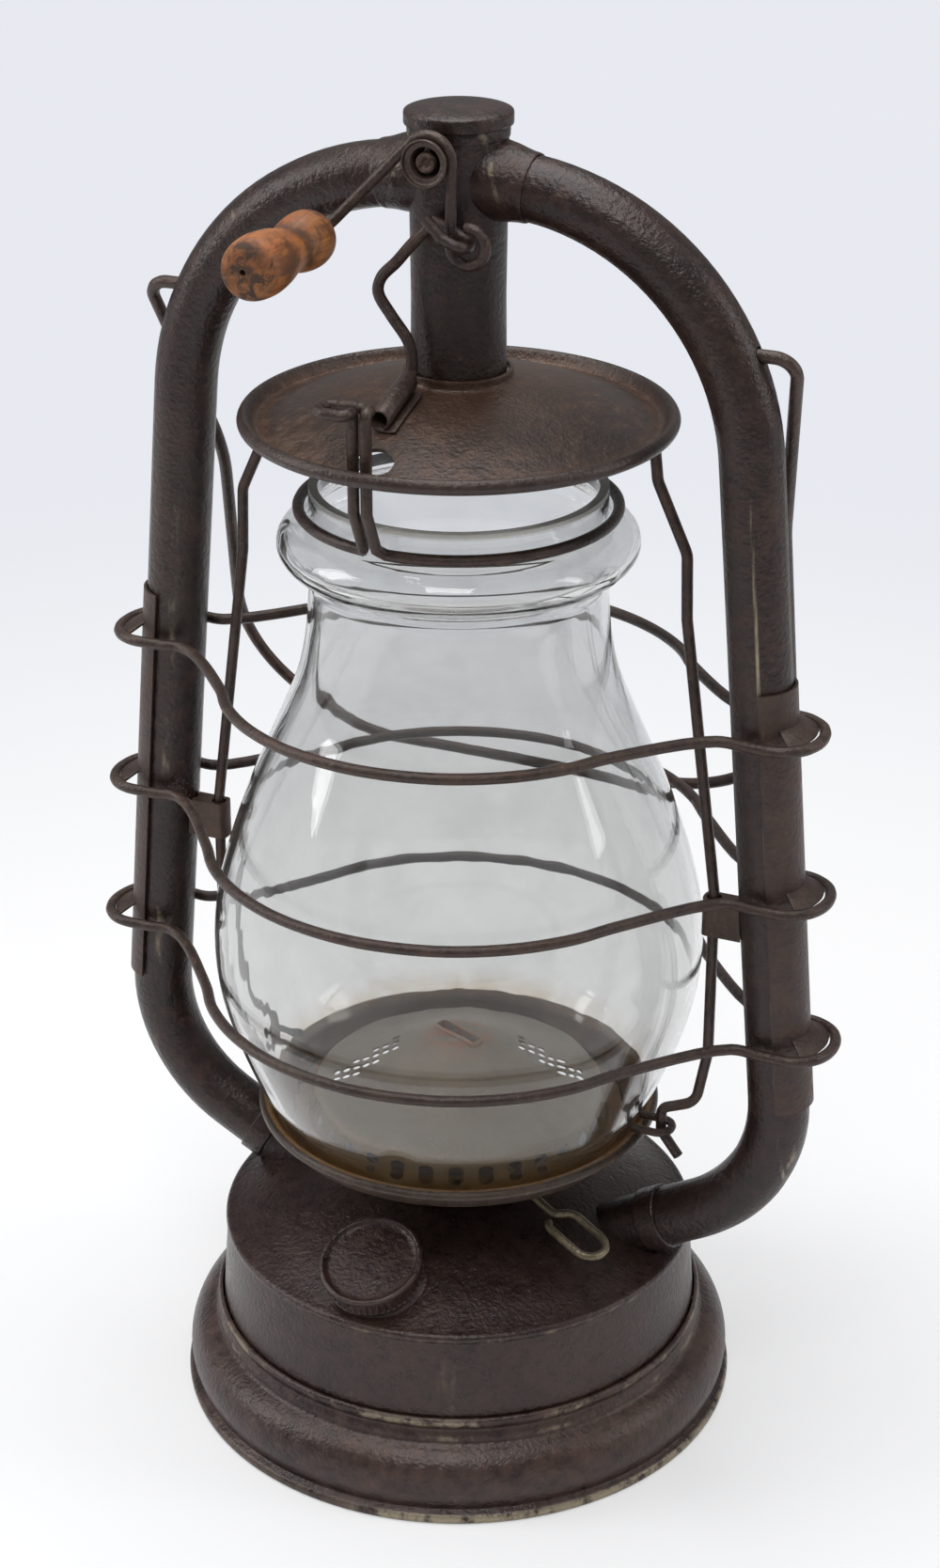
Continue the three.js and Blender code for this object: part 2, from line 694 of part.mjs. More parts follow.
// Side tubes, trimmed against the tank and the centre tube
const tankEnvelope = turned([
  [0, tankBottom],
  ...tankProfile.slice(1).map(([r, z]) => [r + seatGap, z + seatGap]),
  [0, tankCrownHeight + seatGap],
], wideRound);
const centreEnvelope = rod(
  vec(0, 0, centreTubeBottom - overlap),
  vec(0, 0, centreTubeTop + overlap),
  centreTubeRadius + seatGap,
  midRound,
);
const tubeInsides = [];
for (const [side, sign] of Object.entries(sideSigns)) {
  const path = bent([
    vec(sign * tubeTopStart * 0.6, 0, tubeTopHeight + overlap * 0.9),
    vec(sign * tubeCornerReach, 0, tubeCornerHeight),
    vec(sign * tubeBulgeReach, 0, tubeBulgeHeight),
    vec(sign * tubeFootReach, 0, tubeFootHeight),
  ], [tubeArchBend, tubeElbowCorner]);
  const outer = wire(path, tubeRadius, tubeSides);
  const inner = wire(path, tubeRadius - tubeWall, tubeSides);
  const bailBore = rod(
    vec(sign * bailInnerReach, 0, bailPivotHeight),
    vec(sign * bailEarReach, 0, bailPivotHeight),
    bailWireRadius + slideGap,
    14,
  );
  tubeInsides.push(inner);
  const tube = outer.subtract(inner).subtract(tankEnvelope).subtract(centreEnvelope).subtract(bailBore);
  const pieces = tube.decompose().sort((a, b) => b.volume() - a.volume());
  addPart(`${side}_side_tube`, pieces[0], tin, group);

  const sleeveOuter = wire(path, tubeRadius + seatGap + sleeveWall, tubeSides);
  const sleeveInner = wire(path, tubeRadius + seatGap, tubeSides);
  const sleeveZone = slabBox(
    [sign > 0 ? 0 : -sleeveReach, -2 * tubeRadius, tubeTopHeight - 2 * tubeRadius],
    [sign > 0 ? sleeveReach : 0, 2 * tubeRadius, tubeTopHeight + 2 * tubeRadius],
  );
  const sleeve = sleeveOuter.subtract(sleeveInner).intersect(sleeveZone).subtract(centreEnvelope);
  addPart(`${side}_tube_sleeve`, sleeve, tin, group);
}

function slabBox(low, high) {
  const shape = new THREE.Shape();
  shape.moveTo(low[0], low[1]);
  shape.lineTo(high[0], low[1]);
  shape.lineTo(high[0], high[1]);
  shape.lineTo(low[0], high[1]);
  shape.closePath();
  return plateOf(shape, high[2] - low[2], new THREE.Matrix4().makeTranslation(0, 0, low[2]));
}

// Centre tube with the two side openings, and its crown
const centreTube = turned(closedRing([
  [centreTubeRadius - centreTubeWall, centreTubeBottom],
  [centreTubeRadius, centreTubeBottom],
  [centreTubeRadius, centreTubeTop],
  [centreTubeRadius - centreTubeWall, centreTubeTop],
]), midRound).subtract(tubeInsides[0]).subtract(tubeInsides[1]);
addPart('centre_tube', centreTube, tin, group);
const crownSkirt = centreTubeRadius + seatGap;
addPart('crown_cap', turned([
  [0, crownTop],
  [crownRadius * 0.62, crownTop - sheetWall * 0.25],
  [crownRadius * 0.86, crownTop - sheetWall * 0.8],
  [crownRadius * 0.96, crownTop - sheetWall * 1.8],
  [crownRadius, crownTop - sheetWall * 3.2],
  [crownRadius, crownBottom + sheetWall * 0.5],
  [crownRadius * 0.985, crownBottom],
  [crownSkirt, crownBottom],
  [crownSkirt, centreTubeTop + seatGap],
  [0, centreTubeTop + seatGap],
], midRound), tin, group);

// Straight run of each side tube, used by guides, strips and guard
const tubeSlope = (tubeBulgeReach - tubeCornerReach) / (tubeCornerHeight - tubeBulgeHeight);
const tubeReachAt = (z) => tubeBulgeReach - (z - tubeBulgeHeight) * tubeSlope;

// Guard wires
const guardNames = ['upper', 'middle', 'lower'];
const wrapDepth = tubeRadius + guardWireRadius + stripWall + 3 * seatGap;
guardHeights.forEach((height, level) => {
  const reach = tubeReachAt(height);
  const front = guardFrontRadii[level];
  const quarter = [
    [reach + guardLobe, 0],
    [reach + guardLobe * 0.88, -wrapDepth * 0.62],
    [reach + guardLobe * 0.55, -wrapDepth * 0.98],
    [reach, -wrapDepth * 1.02],
    [reach - guardLobe * 0.55, -wrapDepth],
  ];
  for (const degrees of [-30, -42, -56, -72]) {
    const a = THREE.MathUtils.degToRad(degrees);
    quarter.push([front * Math.cos(a), front * Math.sin(a)]);
  }
  const knots = [];
  quarter.forEach(([x, y]) => knots.push(vec(x, y, height)));
  knots.push(vec(0, -front, height));
  [...quarter].reverse().forEach(([x, y]) => knots.push(vec(-x, y, height)));
  quarter.slice(1).forEach(([x, y]) => knots.push(vec(-x, -y, height)));
  knots.push(vec(0, front, height));
  [...quarter].reverse().slice(0, -1).forEach(([x, y]) => knots.push(vec(x, -y, height)));
  const curve = new THREE.CatmullRomCurve3(knots, true, 'centripetal');
  const path = curve.getSpacedPoints(56).slice(0, -1);
  addPart(`guard_wire_${guardNames[level]}`, wire(path, guardWireRadius, 6, true), darkWire, group);
});

// Guard strips with a lug at each guard wire
const stripInner = tubeRadius + seatGap;
const stripOuter = stripInner + stripWall;
const stripHalf = THREE.MathUtils.degToRad(78);
for (const [side, sign] of Object.entries(sideSigns)) {
  const section = new THREE.Shape();
  section.absarc(0, 0, stripOuter, -stripHalf, stripHalf, false);
  section.absarc(0, 0, stripInner, stripHalf, -stripHalf, true);
  section.closePath();
  const length = (stripTop - stripBottom) / Math.cos(Math.atan(tubeSlope));
  const lean = new THREE.Matrix4().makeTranslation(tubeReachAt(stripBottom), 0, stripBottom)
    .multiply(new THREE.Matrix4().makeRotationY(-Math.atan(tubeSlope)));
  let strip = plateOf(section, length, lean);
  guardHeights.forEach((height) => {
    const lug = new THREE.Shape();
    const lugReach = guardLobe - guardWireRadius - seatGap;
    lug.absellipse(0, 0, lugReach, stripInner * 0.86, -Math.PI * 0.36, Math.PI * 0.36, false, 0);
    lug.closePath();
    const seat = new THREE.Matrix4().makeTranslation(tubeReachAt(height), 0, height - lugThickness / 2);
    const bore = rod(
      vec(tubeReachAt(height + guardLobe), 0, height + guardLobe),
      vec(tubeReachAt(height - guardLobe), 0, height - guardLobe),
      (stripInner + stripOuter) / 2,
      tubeSides,
    );
    strip = strip.add(plateOf(lug, lugThickness, seat).subtract(bore));
  });
  if (sign < 0) strip = strip.mirror([1, 0, 0]);
  addPart(`guard_strip_${side}`, strip, tin, group);
}

// Guide brackets that hold the carrier wires beside the tubes
for (const [side, sign] of Object.entries(sideSigns)) {
  const shape = new THREE.Shape();
  const nose = carrierRunReach - guideNose;
  const back = tubeReachAt(guideLevel);
  shape.moveTo(back, -guideWidth / 2);
  shape.lineTo(back, guideWidth / 2);
  shape.lineTo(nose + guideWidth * 0.3, guideWidth / 2);
  shape.quadraticCurveTo(nose, guideWidth / 2, nose, 0);
  shape.quadraticCurveTo(nose, -guideWidth / 2, nose + guideWidth * 0.3, -guideWidth / 2);
  shape.closePath();
  const slot = carrierWireRadius + guideSlot;
  const bottom = guideLevel - guideHeight / 2;
  const seat = new THREE.Matrix4().makeTranslation(0, 0, bottom);
  const tubeCut = rod(
    vec(tubeReachAt(guideLevel + guideHeight), 0, guideLevel + guideHeight),
    vec(tubeReachAt(guideLevel - guideHeight), 0, guideLevel - guideHeight),
    tubeRadius + seatGap,
    tubeSides,
  );
  const wireCut = rod(
    vec(carrierRunReach, 0, bottom - overlap),
    vec(carrierRunReach, 0, bottom + guideHeight + overlap),
    slot,
    14,
  );
  let bracket = plateOf(shape, guideHeight, seat).subtract(tubeCut).subtract(wireCut);
  if (sign < 0) bracket = bracket.mirror([1, 0, 0]);
  addPart(`guide_bracket_${side}`, bracket, rust, group);
}

// Lever boss and its pin on the front of the centre tube
function aboutLever(pairs, segments) {
  const geometry = toGeometry(turned(pairs, segments));
  geometry.rotateX(Math.PI / 2);
  geometry.translate(0, 0, leverHeight);
  return toSolid(geometry);
}
const bossRimStart = -bossEnd - bossRimThickness;
addPart('lever_boss', aboutLever(closedRing([
  [bossBoreRadius, -bossRoot],
  [bossNeckRadius * 1.15, -bossRoot],
  [bossNeckRadius * 1.15, centreTubeRadius + seatGap * 4],
  [bossNeckRadius, centreTubeRadius + seatGap * 5],
  [bossNeckRadius, bossRimStart],
  [bossRimRadius * 0.97, bossRimStart],
  [bossRimRadius, bossRimStart + bossRimThickness * 0.5],
  [bossRimRadius * 0.95, -bossEnd],
  [bossBoreRadius * 1.25, -bossEnd],
  [bossBoreRadius, -bossEnd - bossRimThickness * 0.5],
]), smallRound).subtract(centreEnvelope), tin, group);
addPart('lever_pin', aboutLever([
  [0, -bossRoot],
  [pinRadius, -bossRoot],
  [pinRadius, -pinEnd - pinHeadThickness],
  [pinHeadRadius, -pinEnd - pinHeadThickness],
  [pinHeadRadius, -pinEnd - pinHeadThickness * 0.3],
  [pinHeadRadius * 0.7, -pinEnd],
  [0, -pinEnd],
], 12).subtract(centreEnvelope), rust, group);

// Carriage: hood, carrier wires, globe plate, dome and globe rise together
const carriage = addGroup('globe_carriage', group);
const hoodRing = closedRing(scaled(sheetShares.hood, hoodRadius, hoodRimHeight, hoodRise));
const hoodSlot = slabBox(
  [neckLegCentre - hoodSlotWidth / 2, -hoodSlotReach - hoodSlotDepth / 2, hoodRimHeight - overlap],
  [neckLegCentre + hoodSlotWidth / 2, -hoodSlotReach + hoodSlotDepth / 2, hoodRimHeight + hoodRise],
);
addPart('hood_disc', turned(hoodRing, wideRound).subtract(hoodSlot), rust, carriage);

for (const [side, sign] of Object.entries(sideSigns)) {
  const path = bent([
    vec(sign * carrierTopReach, 0, carrierTopHeight),
    vec(sign * carrierKneeReach, 0, carrierKneeHeight),
    vec(sign * carrierShoulderReach, 0, carrierShoulderHeight),
    vec(sign * (carrierShoulderReach + slideGap), 0, carrierWaistHeight),
    vec(sign * carrierRunReach, 0, carrierRunTop),
    vec(sign * carrierRunReach, 0, carrierRunLow),
    vec(sign * carrierFootReach, 0, carrierFootHeight),
    vec(sign * carrierHookReach, 0, carrierHookHeight),
    vec(sign * carrierHookReach, 0, carrierHookHeight - carrierHookBend * 2.6),
    vec(sign * carrierStubReach, 0, carrierStubHeight),
  ], [carrierBend, carrierBend, carrierBend * 2, carrierBend * 4, carrierBend, carrierBend,
    carrierHookBend, carrierHookBend]);
  addPart(`carrier_wire_${side}`, wire(path, carrierWireRadius, wireSides), darkWire, carriage);

  const earPath = bent([
    vec(sign * earReach, -earWidth, earHeight),
    vec(sign * earEnd, -earWidth, earHeight),
    vec(sign * earEnd, earWidth, earHeight),
    vec(sign * earReach, earWidth, earHeight),
  ], earWidth);
  addPart(`plate_ear_${side}`, wire(earPath, earWireRadius, wireSides), darkWire, carriage);
}

const plateRing = closedRing(scaled(sheetShares.plate, plateRadius, plateFloor, plateRimRise));
addPart('globe_plate', turned(plateRing, wideRound), rust, carriage);

const domeOuter = scaled(sheetShares.dome, domeRadius, domeBase, domeHeight);
const domeLower = domeOuter.map(([r, z]) => [Math.max(r - sheetWall, 0), z - sheetWall]);
domeLower[0] = [domeOuter[0][0] - sheetWall, domeBase];
const domeShell = [...domeOuter, ...domeLower.slice().reverse(), domeOuter[0]];
const domeCuts = [slabBox(
  [-domeSlotWidth / 2, -domeSlotDepth / 2, domeBase + domeHeight * 0.8],
  [domeSlotWidth / 2, domeSlotDepth / 2, domeBase + domeHeight + overlap],
)];
domeCuts[0] = turnWick(domeCuts[0]);
for (let k = 0; k < 16; k += 1) {
  const a = (2 * Math.PI * k) / 16;
  const inner = vec(domeRadius * 0.85 * Math.cos(a), domeRadius * 0.85 * Math.sin(a), domeHoleHeight);
  const outer = vec(domeRadius * 1.1 * Math.cos(a), domeRadius * 1.1 * Math.sin(a), domeHoleHeight);
  domeCuts.push(rod(inner, outer, domeHoleRadius, 6));
}
for (const turn of [0, Math.PI]) {
  for (const [row, column] of [[0, 0], [1, -1], [1, 1], [2, -2], [2, 0], [2, 2]]) {
    const a = raiserTurn + turn + THREE.MathUtils.degToRad(24);
    const reach = emberHoleReach + (row - 1) * emberHoleStep;
    const sideways = column * emberHoleStep * 0.62;
    const x = reach * Math.cos(a) - sideways * Math.sin(a);
    const y = reach * Math.sin(a) + sideways * Math.cos(a);
    domeCuts.push(rod(vec(x, y, domeBase), vec(x, y, domeBase + domeHeight), emberHoleRadius, 4));
  }
}
const draughtDome = turned(domeShell, midRound).subtract(kernel.Manifold.union(domeCuts));
addPart('draught_dome', draughtDome, rust, carriage);

const globeOuter = scaled(globeShares, globeRadius, globeBottom, globeTop - globeBottom);
const globeInner = inset(globeOuter, globeWall);
globeInner[0][1] = globeBottom;
globeInner[globeInner.length - 1][1] = globeTop;
addPart('globe', turned([...globeOuter, ...globeInner.reverse(), globeOuter[0]], midRound), glass, carriage);

// Neck ring with its finger loop above the hood
const neckGroup = addGroup('neck_ring_set', carriage);
const legRight = neckLegCentre + neckLegSpacing / 2;
const legLeft = neckLegCentre - neckLegSpacing / 2;
const neckPath = [];
const gapCentre = Math.asin(neckLegCentre / neckRingRadius) - Math.PI / 2;
const gapAngle = Math.asin((neckLegSpacing / 2) / neckRingRadius) + 0.04;
const ringSteps = 26;
for (let s = 0; s <= ringSteps; s += 1) {
  const a = gapCentre + gapAngle + (2 * (Math.PI - gapAngle) * s) / ringSteps;
  neckPath.push(vec(neckRingRadius * Math.cos(a), neckRingRadius * Math.sin(a), neckRingHeight));
}
const ringStart = neckPath[0];
const ringEnd = neckPath[neckPath.length - 1];
const legsRight = bent([
  vec(legLeft, -hoodSlotReach, neckLegHeight + neckBend),
  vec(legLeft, -hoodSlotReach, neckLoopHeight),
  vec(legLeft, -hoodSlotReach - neckLoopWidth / 2, neckLoopHeight),
  vec(legLeft - neckLoopLength, -hoodSlotReach - neckLoopWidth / 2, neckLoopHeight),
  vec(legLeft - neckLoopLength, -hoodSlotReach + neckLoopWidth / 2, neckLoopHeight),
  vec(legRight, -hoodSlotReach + neckLoopWidth / 2, neckLoopHeight),
  vec(legRight, -hoodSlotReach, neckLoopHeight),
  vec(legRight, -hoodSlotReach, neckLegHeight + neckBend),
], [neckBend * 0.6, neckBend * 0.8, neckLoopWidth * 0.45, neckLoopWidth * 0.45, neckBend * 0.8,
  neckBend * 0.6]);
const rightStep = [
  vec(legRight, -hoodSlotReach, neckLegHeight),
  vec(legRight, -neckRingRadius - neckBend, neckRingHeight + neckBend),
];
const leftStep = [
  vec(legLeft, -neckRingRadius - neckBend, neckRingHeight + neckBend),
  vec(legLeft, -hoodSlotReach, neckLegHeight),
];
const neckWire = [ringStart, ...neckPath.slice(1, -1), ringEnd, ...leftStep, ...legsRight, ...rightStep];
addPart('neck_ring', wire(neckWire, neckWireRadius, wireSides, true), darkWire, neckGroup);

// Clip soldered to the hood, and the link that pivots in it
const clipSlope = vec(0, clipFrontY - clipBackY, -clipDrop);
const clipStart = vec(linkFootX, clipBackY, clipBackZ);
const clipStop = clipStart.clone().add(clipSlope);
const clipTube = rod(clipStart, clipStop, clipOuterRadius, 16);
const clipBore = rod(
  clipStart.clone().addScaledVector(clipSlope, -0.2),
  clipStop.clone().addScaledVector(clipSlope, 0.2),
  clipOuterRadius - clipWall,
  16,
);
const clipFlange = wire([
  clipStart.clone().add(vec(clipFlangeWidth / 2, 0, -clipOuterRadius * 0.8)),
  clipStop.clone().add(vec(clipFlangeWidth / 2, 0, -clipOuterRadius * 0.8)),
], clipWall, 6);
const flangeShape = slabBox(
  [linkFootX, clipFrontY, -clipWall / 2],
  [linkFootX + clipFlangeWidth, clipBackY, clipWall / 2],
);
const flangeTilt = THREE.MathUtils.radToDeg(Math.atan(clipDrop / (clipBackY - clipFrontY)));
const flange = flangeShape
  .translate([0, -clipBackY, 0])
  .rotate([flangeTilt, 0, 0])
  .translate([0, clipBackY, clipBackZ - clipOuterRadius + clipWall]);
const clip = kernel.Manifold.union([clipTube, flange, clipFlange]).subtract(clipBore);
const hoodClear = turned(hoodRing.map(([r, z]) => [r, z + seatGap]), wideRound)
  .add(turned(hoodRing.map(([r, z]) => [r, z - seatGap]), wideRound));
const clipPieces = clip.subtract(hoodClear).decompose().sort((a, b) => b.volume() - a.volume());
addPart('link_clip', clipPieces[0], rust, carriage);

const linkGroup = addGroup('lift_link_set', carriage);
const eyeZ = leverHeight - leverEyeDrop;
const clipFall = clipDrop / (clipBackY - clipFrontY);
const onClip = (y) => vec(linkFootX, y, clipBackZ + (y - clipBackY) * clipFall);
const linkFoot = onClip(linkPlane);
const linkAt = (across, up, y) => vec(linkFoot.x + linkBend * across, y, linkFoot.z + linkBend * up);
const linkPath = bent([
  onClip(linkFootEndY),
  linkFoot,
  linkAt(1.2, 2.3, linkPlane),
  linkAt(-0.6, 4.8, linkPlane),
  linkAt(-2.2, 7.0, linkPlane),
  linkAt(-0.6, 9.6, linkPlane),
  linkAt(1.3, 11.4, linkPlane),
  linkAt(2.5, 12.6, linkPlane),
  vec(leverEyeX, linkPlane, eyeZ),
  vec(leverEyeX, linkFrontPlane, eyeZ),
  vec(leverEyeX - linkBend * 1.7, linkFrontPlane, eyeZ + linkBend * 0.8),
  linkAt(2.6, 13.3, linkFrontPlane),
], linkBend);
addPart('lift_link', wire(linkPath, linkWireRadius, wireSides), darkWire, linkGroup);

// Lever wire and its wooden grip
const leverGroup = addGroup('lift_lever_set', group);
const wrapRadius = bossNeckRadius + seatGap * 1.2 + leverWireRadius;
const leverPoint = (x, z) => vec(x, leverPlane, leverHeight + z);
const leverPath = [];
const armAngle = Math.atan2(-gripDrop, gripX);
const tangentTurn = Math.acos(wrapRadius / Math.hypot(gripX, gripDrop));
const wrapStart = armAngle + 2 * Math.PI - tangentTurn;
const wrapStop = 0;
const arm = bent([
  vec(gripX, gripInner - gripLength * 0.86, leverHeight - gripDrop),
  vec(gripX, leverPlane, leverHeight - gripDrop),
  leverPoint(wrapRadius * Math.cos(wrapStart), wrapRadius * Math.sin(wrapStart)),
], leverBend);
leverPath.push(...arm);
const wrapSteps = 8;
for (let s = 1; s <= wrapSteps; s += 1) {
  const a = wrapStart + ((wrapStop - wrapStart) * s) / wrapSteps;
  leverPath.push(leverPoint(wrapRadius * Math.cos(a), wrapRadius * Math.sin(a)));
}
for (let s = 0; s <= 12; s += 1) {
  const a = Math.PI + (Math.PI * 1.54 * s) / 12;
  leverPath.push(vec(
    leverEyeX + leverEyeRadius * Math.cos(a),
    leverPlane,
    eyeZ + leverEyeRadius * Math.sin(a),
  ));
}
addPart('lift_lever', wire(leverPath, leverWireRadius, wireSides), darkWire, leverGroup);
const gripPairs = gripShares.map(([r, y]) => [r * gripRadius, -gripInner + y * gripLength]);
const gripBoreCut = rod(
  vec(gripX, gripInner + overlap, leverHeight - gripDrop),
  vec(gripX, gripInner - gripLength * 0.9, leverHeight - gripDrop),
  gripBore,
  12,
);
const gripBody = toGeometry(turned(gripPairs, smallRound));
gripBody.rotateX(Math.PI / 2);
gripBody.translate(gripX, 0, leverHeight - gripDrop);
addPart('lever_grip', toSolid(gripBody).subtract(gripBoreCut), wood, leverGroup);

// Carrying bail, hanging low behind the globe
const bailGroup = addGroup('bail_set', group);
const bailPoint = (x, drop) => vec(
  x,
  drop * Math.sin(bailRestLean),
  bailPivotHeight - drop * Math.cos(bailRestLean),
);
const bailPath = bent([
  bailPoint(-bailInnerReach, 0),
  bailPoint(-bailEarReach, 0),
  bailPoint(-bailWaistReach, bailWaistDrop),
  bailPoint(-bailSpread - bailSkew, bailLength),
  bailPoint(bailSpread - bailSkew, bailLength),
  bailPoint(bailWaistReach, bailWaistDrop),
  bailPoint(bailEarReach, 0),
  bailPoint(bailInnerReach, 0),
], [bailEarBend, bailWaistBend, bailCorner, bailCorner, bailWaistBend, bailEarBend]);
addPart('bail', wire(bailPath, bailWireRadius, wireSides), darkWire, bailGroup);

export default group;
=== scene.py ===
import math
import bpy
from mathutils import Matrix, Vector


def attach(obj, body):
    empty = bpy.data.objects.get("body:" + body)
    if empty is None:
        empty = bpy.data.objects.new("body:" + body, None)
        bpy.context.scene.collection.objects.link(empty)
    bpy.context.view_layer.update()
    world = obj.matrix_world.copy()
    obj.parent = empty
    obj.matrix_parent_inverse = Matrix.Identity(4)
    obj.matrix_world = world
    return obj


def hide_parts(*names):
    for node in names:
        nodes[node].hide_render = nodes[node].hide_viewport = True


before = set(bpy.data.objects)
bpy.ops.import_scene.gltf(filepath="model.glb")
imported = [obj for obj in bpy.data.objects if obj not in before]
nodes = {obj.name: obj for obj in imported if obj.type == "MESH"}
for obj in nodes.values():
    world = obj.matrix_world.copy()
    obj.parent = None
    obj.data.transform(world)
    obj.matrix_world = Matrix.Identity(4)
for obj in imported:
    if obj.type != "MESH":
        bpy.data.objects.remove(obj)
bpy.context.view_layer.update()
print("frame loaded:", len(nodes), "nodes")


bothSides = (("right", 1), ("left", -1))


def mm(value):
    return value * 0.001


def upright(points, sign):
    return [(sign * x, 0, z) for x, z in points]


# Outline in millimetres from shares of a radius and a height
def scaled(shares, radius, base, height):
    return [(r * radius, base + z * height) for r, z in shares]


def spoke(share):
    return Vector((math.cos(2 * math.pi * share), math.sin(2 * math.pi * share), 0))


def clearSelection():
    if bpy.context.object and bpy.context.object.mode != "OBJECT":
        bpy.ops.object.mode_set(mode="OBJECT")
    bpy.ops.object.select_all(action="DESELECT")
    bpy.context.tool_settings.mesh_select_mode = (True, False, False)


def pickOnly(piece):
    clearSelection()
    piece.select_set(True)
    bpy.context.view_layer.objects.active = piece


def applyPlace(piece):
    pickOnly(piece)
    bpy.ops.object.transform_apply(location=True, rotation=True, scale=True)


def turnTo(thing, direction, forward):
    thing.rotation_mode = "QUATERNION"
    thing.rotation_quaternion = direction.to_track_quat(forward, "Y")


def closeMesh(piece):
    pickOnly(piece)
    bpy.ops.object.mode_set(mode="EDIT")
    bpy.ops.mesh.select_all(action="SELECT")
    bpy.ops.mesh.remove_doubles(threshold=1e-6)
    bpy.ops.mesh.normals_make_consistent(inside=False)
    bpy.ops.object.mode_set(mode="OBJECT")


def pickFaces(piece, wanted):
    pickOnly(piece)
    bpy.ops.object.mode_set(mode="EDIT")
    bpy.ops.mesh.select_mode(type="FACE")
    bpy.ops.mesh.select_all(action="DESELECT")
    bpy.ops.object.mode_set(mode="OBJECT")
    for face in piece.data.polygons:
        face.select = wanted(face)
    bpy.ops.object.mode_set(mode="EDIT")


def smoothPiece(piece, degrees=38):
    pickOnly(piece)
    bpy.ops.object.shade_smooth_by_angle(angle=math.radians(degrees))


def applyModifier(piece, kind, **settings):
    pickOnly(piece)
    modifier = piece.modifiers.new("made", kind)
    for key, value in settings.items():
        setattr(modifier, key, value)
    bpy.ops.object.modifier_apply(modifier=modifier.name)


def bevelEdges(piece, width, segments=2):
    applyModifier(piece, "BEVEL", width=mm(width), segments=segments, limit_method="ANGLE")


def cutAway(piece, cutter):
    applyModifier(piece, "BOOLEAN", operation="DIFFERENCE", object=cutter, solver="EXACT")
    bpy.data.objects.remove(cutter, do_unlink=True)


def joinPieces(pieces):
    clearSelection()
    for piece in pieces:
        piece.select_set(True)
    bpy.context.view_layer.objects.active = pieces[0]
    bpy.ops.object.join()
    return pieces[0]


def settle(piece, body, slotName, material, *stoodFor):
    applyPlace(piece)
    piece.data.materials.clear()
    piece.data.materials.append(material)
    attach(piece, body)
    if stoodFor:
        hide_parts(*stoodFor)
    return piece


# Curve through all keys that doesn't swing out beside a short step
def smoothLine(keys, cuts, closed=False):
    keys = [Vector(key) for key in keys]
    count = len(keys)
    line = []
    for i in range(count if closed else count - 1):
        a = keys[(i - 1) % count] if closed or i > 0 else keys[i]
        b = keys[i]
        c = keys[(i + 1) % count]
        d = keys[(i + 2) % count] if closed or i + 2 < count else c
        middle = max((c - b).length, 1e-6) ** 0.5
        first = (b - a).length ** 0.5 or middle
        last = (d - c).length ** 0.5 or middle
        leave = ((b - a) / first - (c - a) / (first + middle) + (c - b) / middle) * middle
        reach = ((c - b) / middle - (d - b) / (middle + last) + (d - c) / last) * middle
        if a == b:
            leave = c - b
        if c == d:
            reach = c - b
        for s in range(cuts):
            t = s / cuts
            line.append(b + leave * t + (3 * (c - b) - 2 * leave - reach) * t * t
                        + (2 * (b - c) + leave + reach) * t * t * t)
    if not closed:
        line.append(keys[-1])
    return line


# Straight runs joined by round bends, which take at most a share of each run
def bentLine(corners, radii, arcStep=0.13, runShare=0.49):
    corners = [Vector(corner) for corner in corners]
    if not isinstance(radii, (list, tuple)):
        radii = [radii] * (len(corners) - 2)
    line = [corners[0].copy()]
    for i in range(1, len(corners) - 1):
        toward = corners[i - 1] - corners[i]
        away = corners[i + 1] - corners[i]
        before = toward.length * runShare * (1 if i > 1 else 2)
        after = away.length * runShare * (1 if i < len(corners) - 2 else 2)
        toward.normalize()
        away.normalize()
        angle = math.pi - toward.angle(away)
        if angle < 0.02:
            line.append(corners[i].copy())
            continue
        trim = min(radii[i - 1] * math.tan(angle / 2), before, after)
        bend = trim / math.tan(angle / 2)
        centre = corners[i] + (toward + away).normalized() * (bend / math.cos(angle / 2))
        start = corners[i] + toward * trim - centre
        stop = corners[i] + away * trim - centre
        axis = start.cross(stop).normalized()
        steps = max(4, math.ceil(angle / min(arcStep, 1.6 / bend + 0.03)))
        for s in range(steps + 1):
            line.append(Matrix.Rotation(angle * s / steps, 3, axis) @ start + centre)
    line.append(corners[-1].copy())
    return line


# Chain of edges in the upright plane, left in edit mode with all of it selected
def drawOutline(name, line):
    clearSelection()
    bpy.ops.mesh.primitive_plane_add(size=0.001, location=(0, 0, 0))
    piece = bpy.context.object
    piece.name = name
    bpy.ops.object.mode_set(mode="EDIT")
    bpy.ops.mesh.select_all(action="SELECT")
    bpy.ops.mesh.merge(type="CENTER")
    bpy.ops.transform.translate(value=(line[0][0], 0, line[0][1]))
    for a, b in zip(line, line[1:]):
        if abs(a[0] - b[0]) + abs(a[1] - b[1]) < 1e-7:
            continue
        bpy.ops.mesh.extrude_region_move(TRANSFORM_OT_translate={"value": (b[0] - a[0], 0, b[1] - a[1])})
    bpy.ops.mesh.select_all(action="SELECT")
    return piece


# Body turned about the upright axis from radius and height, in millimetres
def turnPiece(name, keys, cuts=3, steps=120, closed=True):
    line = [(mm(max(p[0], 0)), mm(p[1])) for p in smoothLine(keys, cuts, closed)]
    if closed:
        line.append(line[0])
    piece = drawOutline(name, line)
    bpy.ops.mesh.spin(steps=steps, angle=2 * math.pi, center=(0, 0, 0), axis=(0, 0, 1))
    bpy.ops.object.mode_set(mode="OBJECT")
    closeMesh(piece)
    smoothPiece(piece)
    return piece


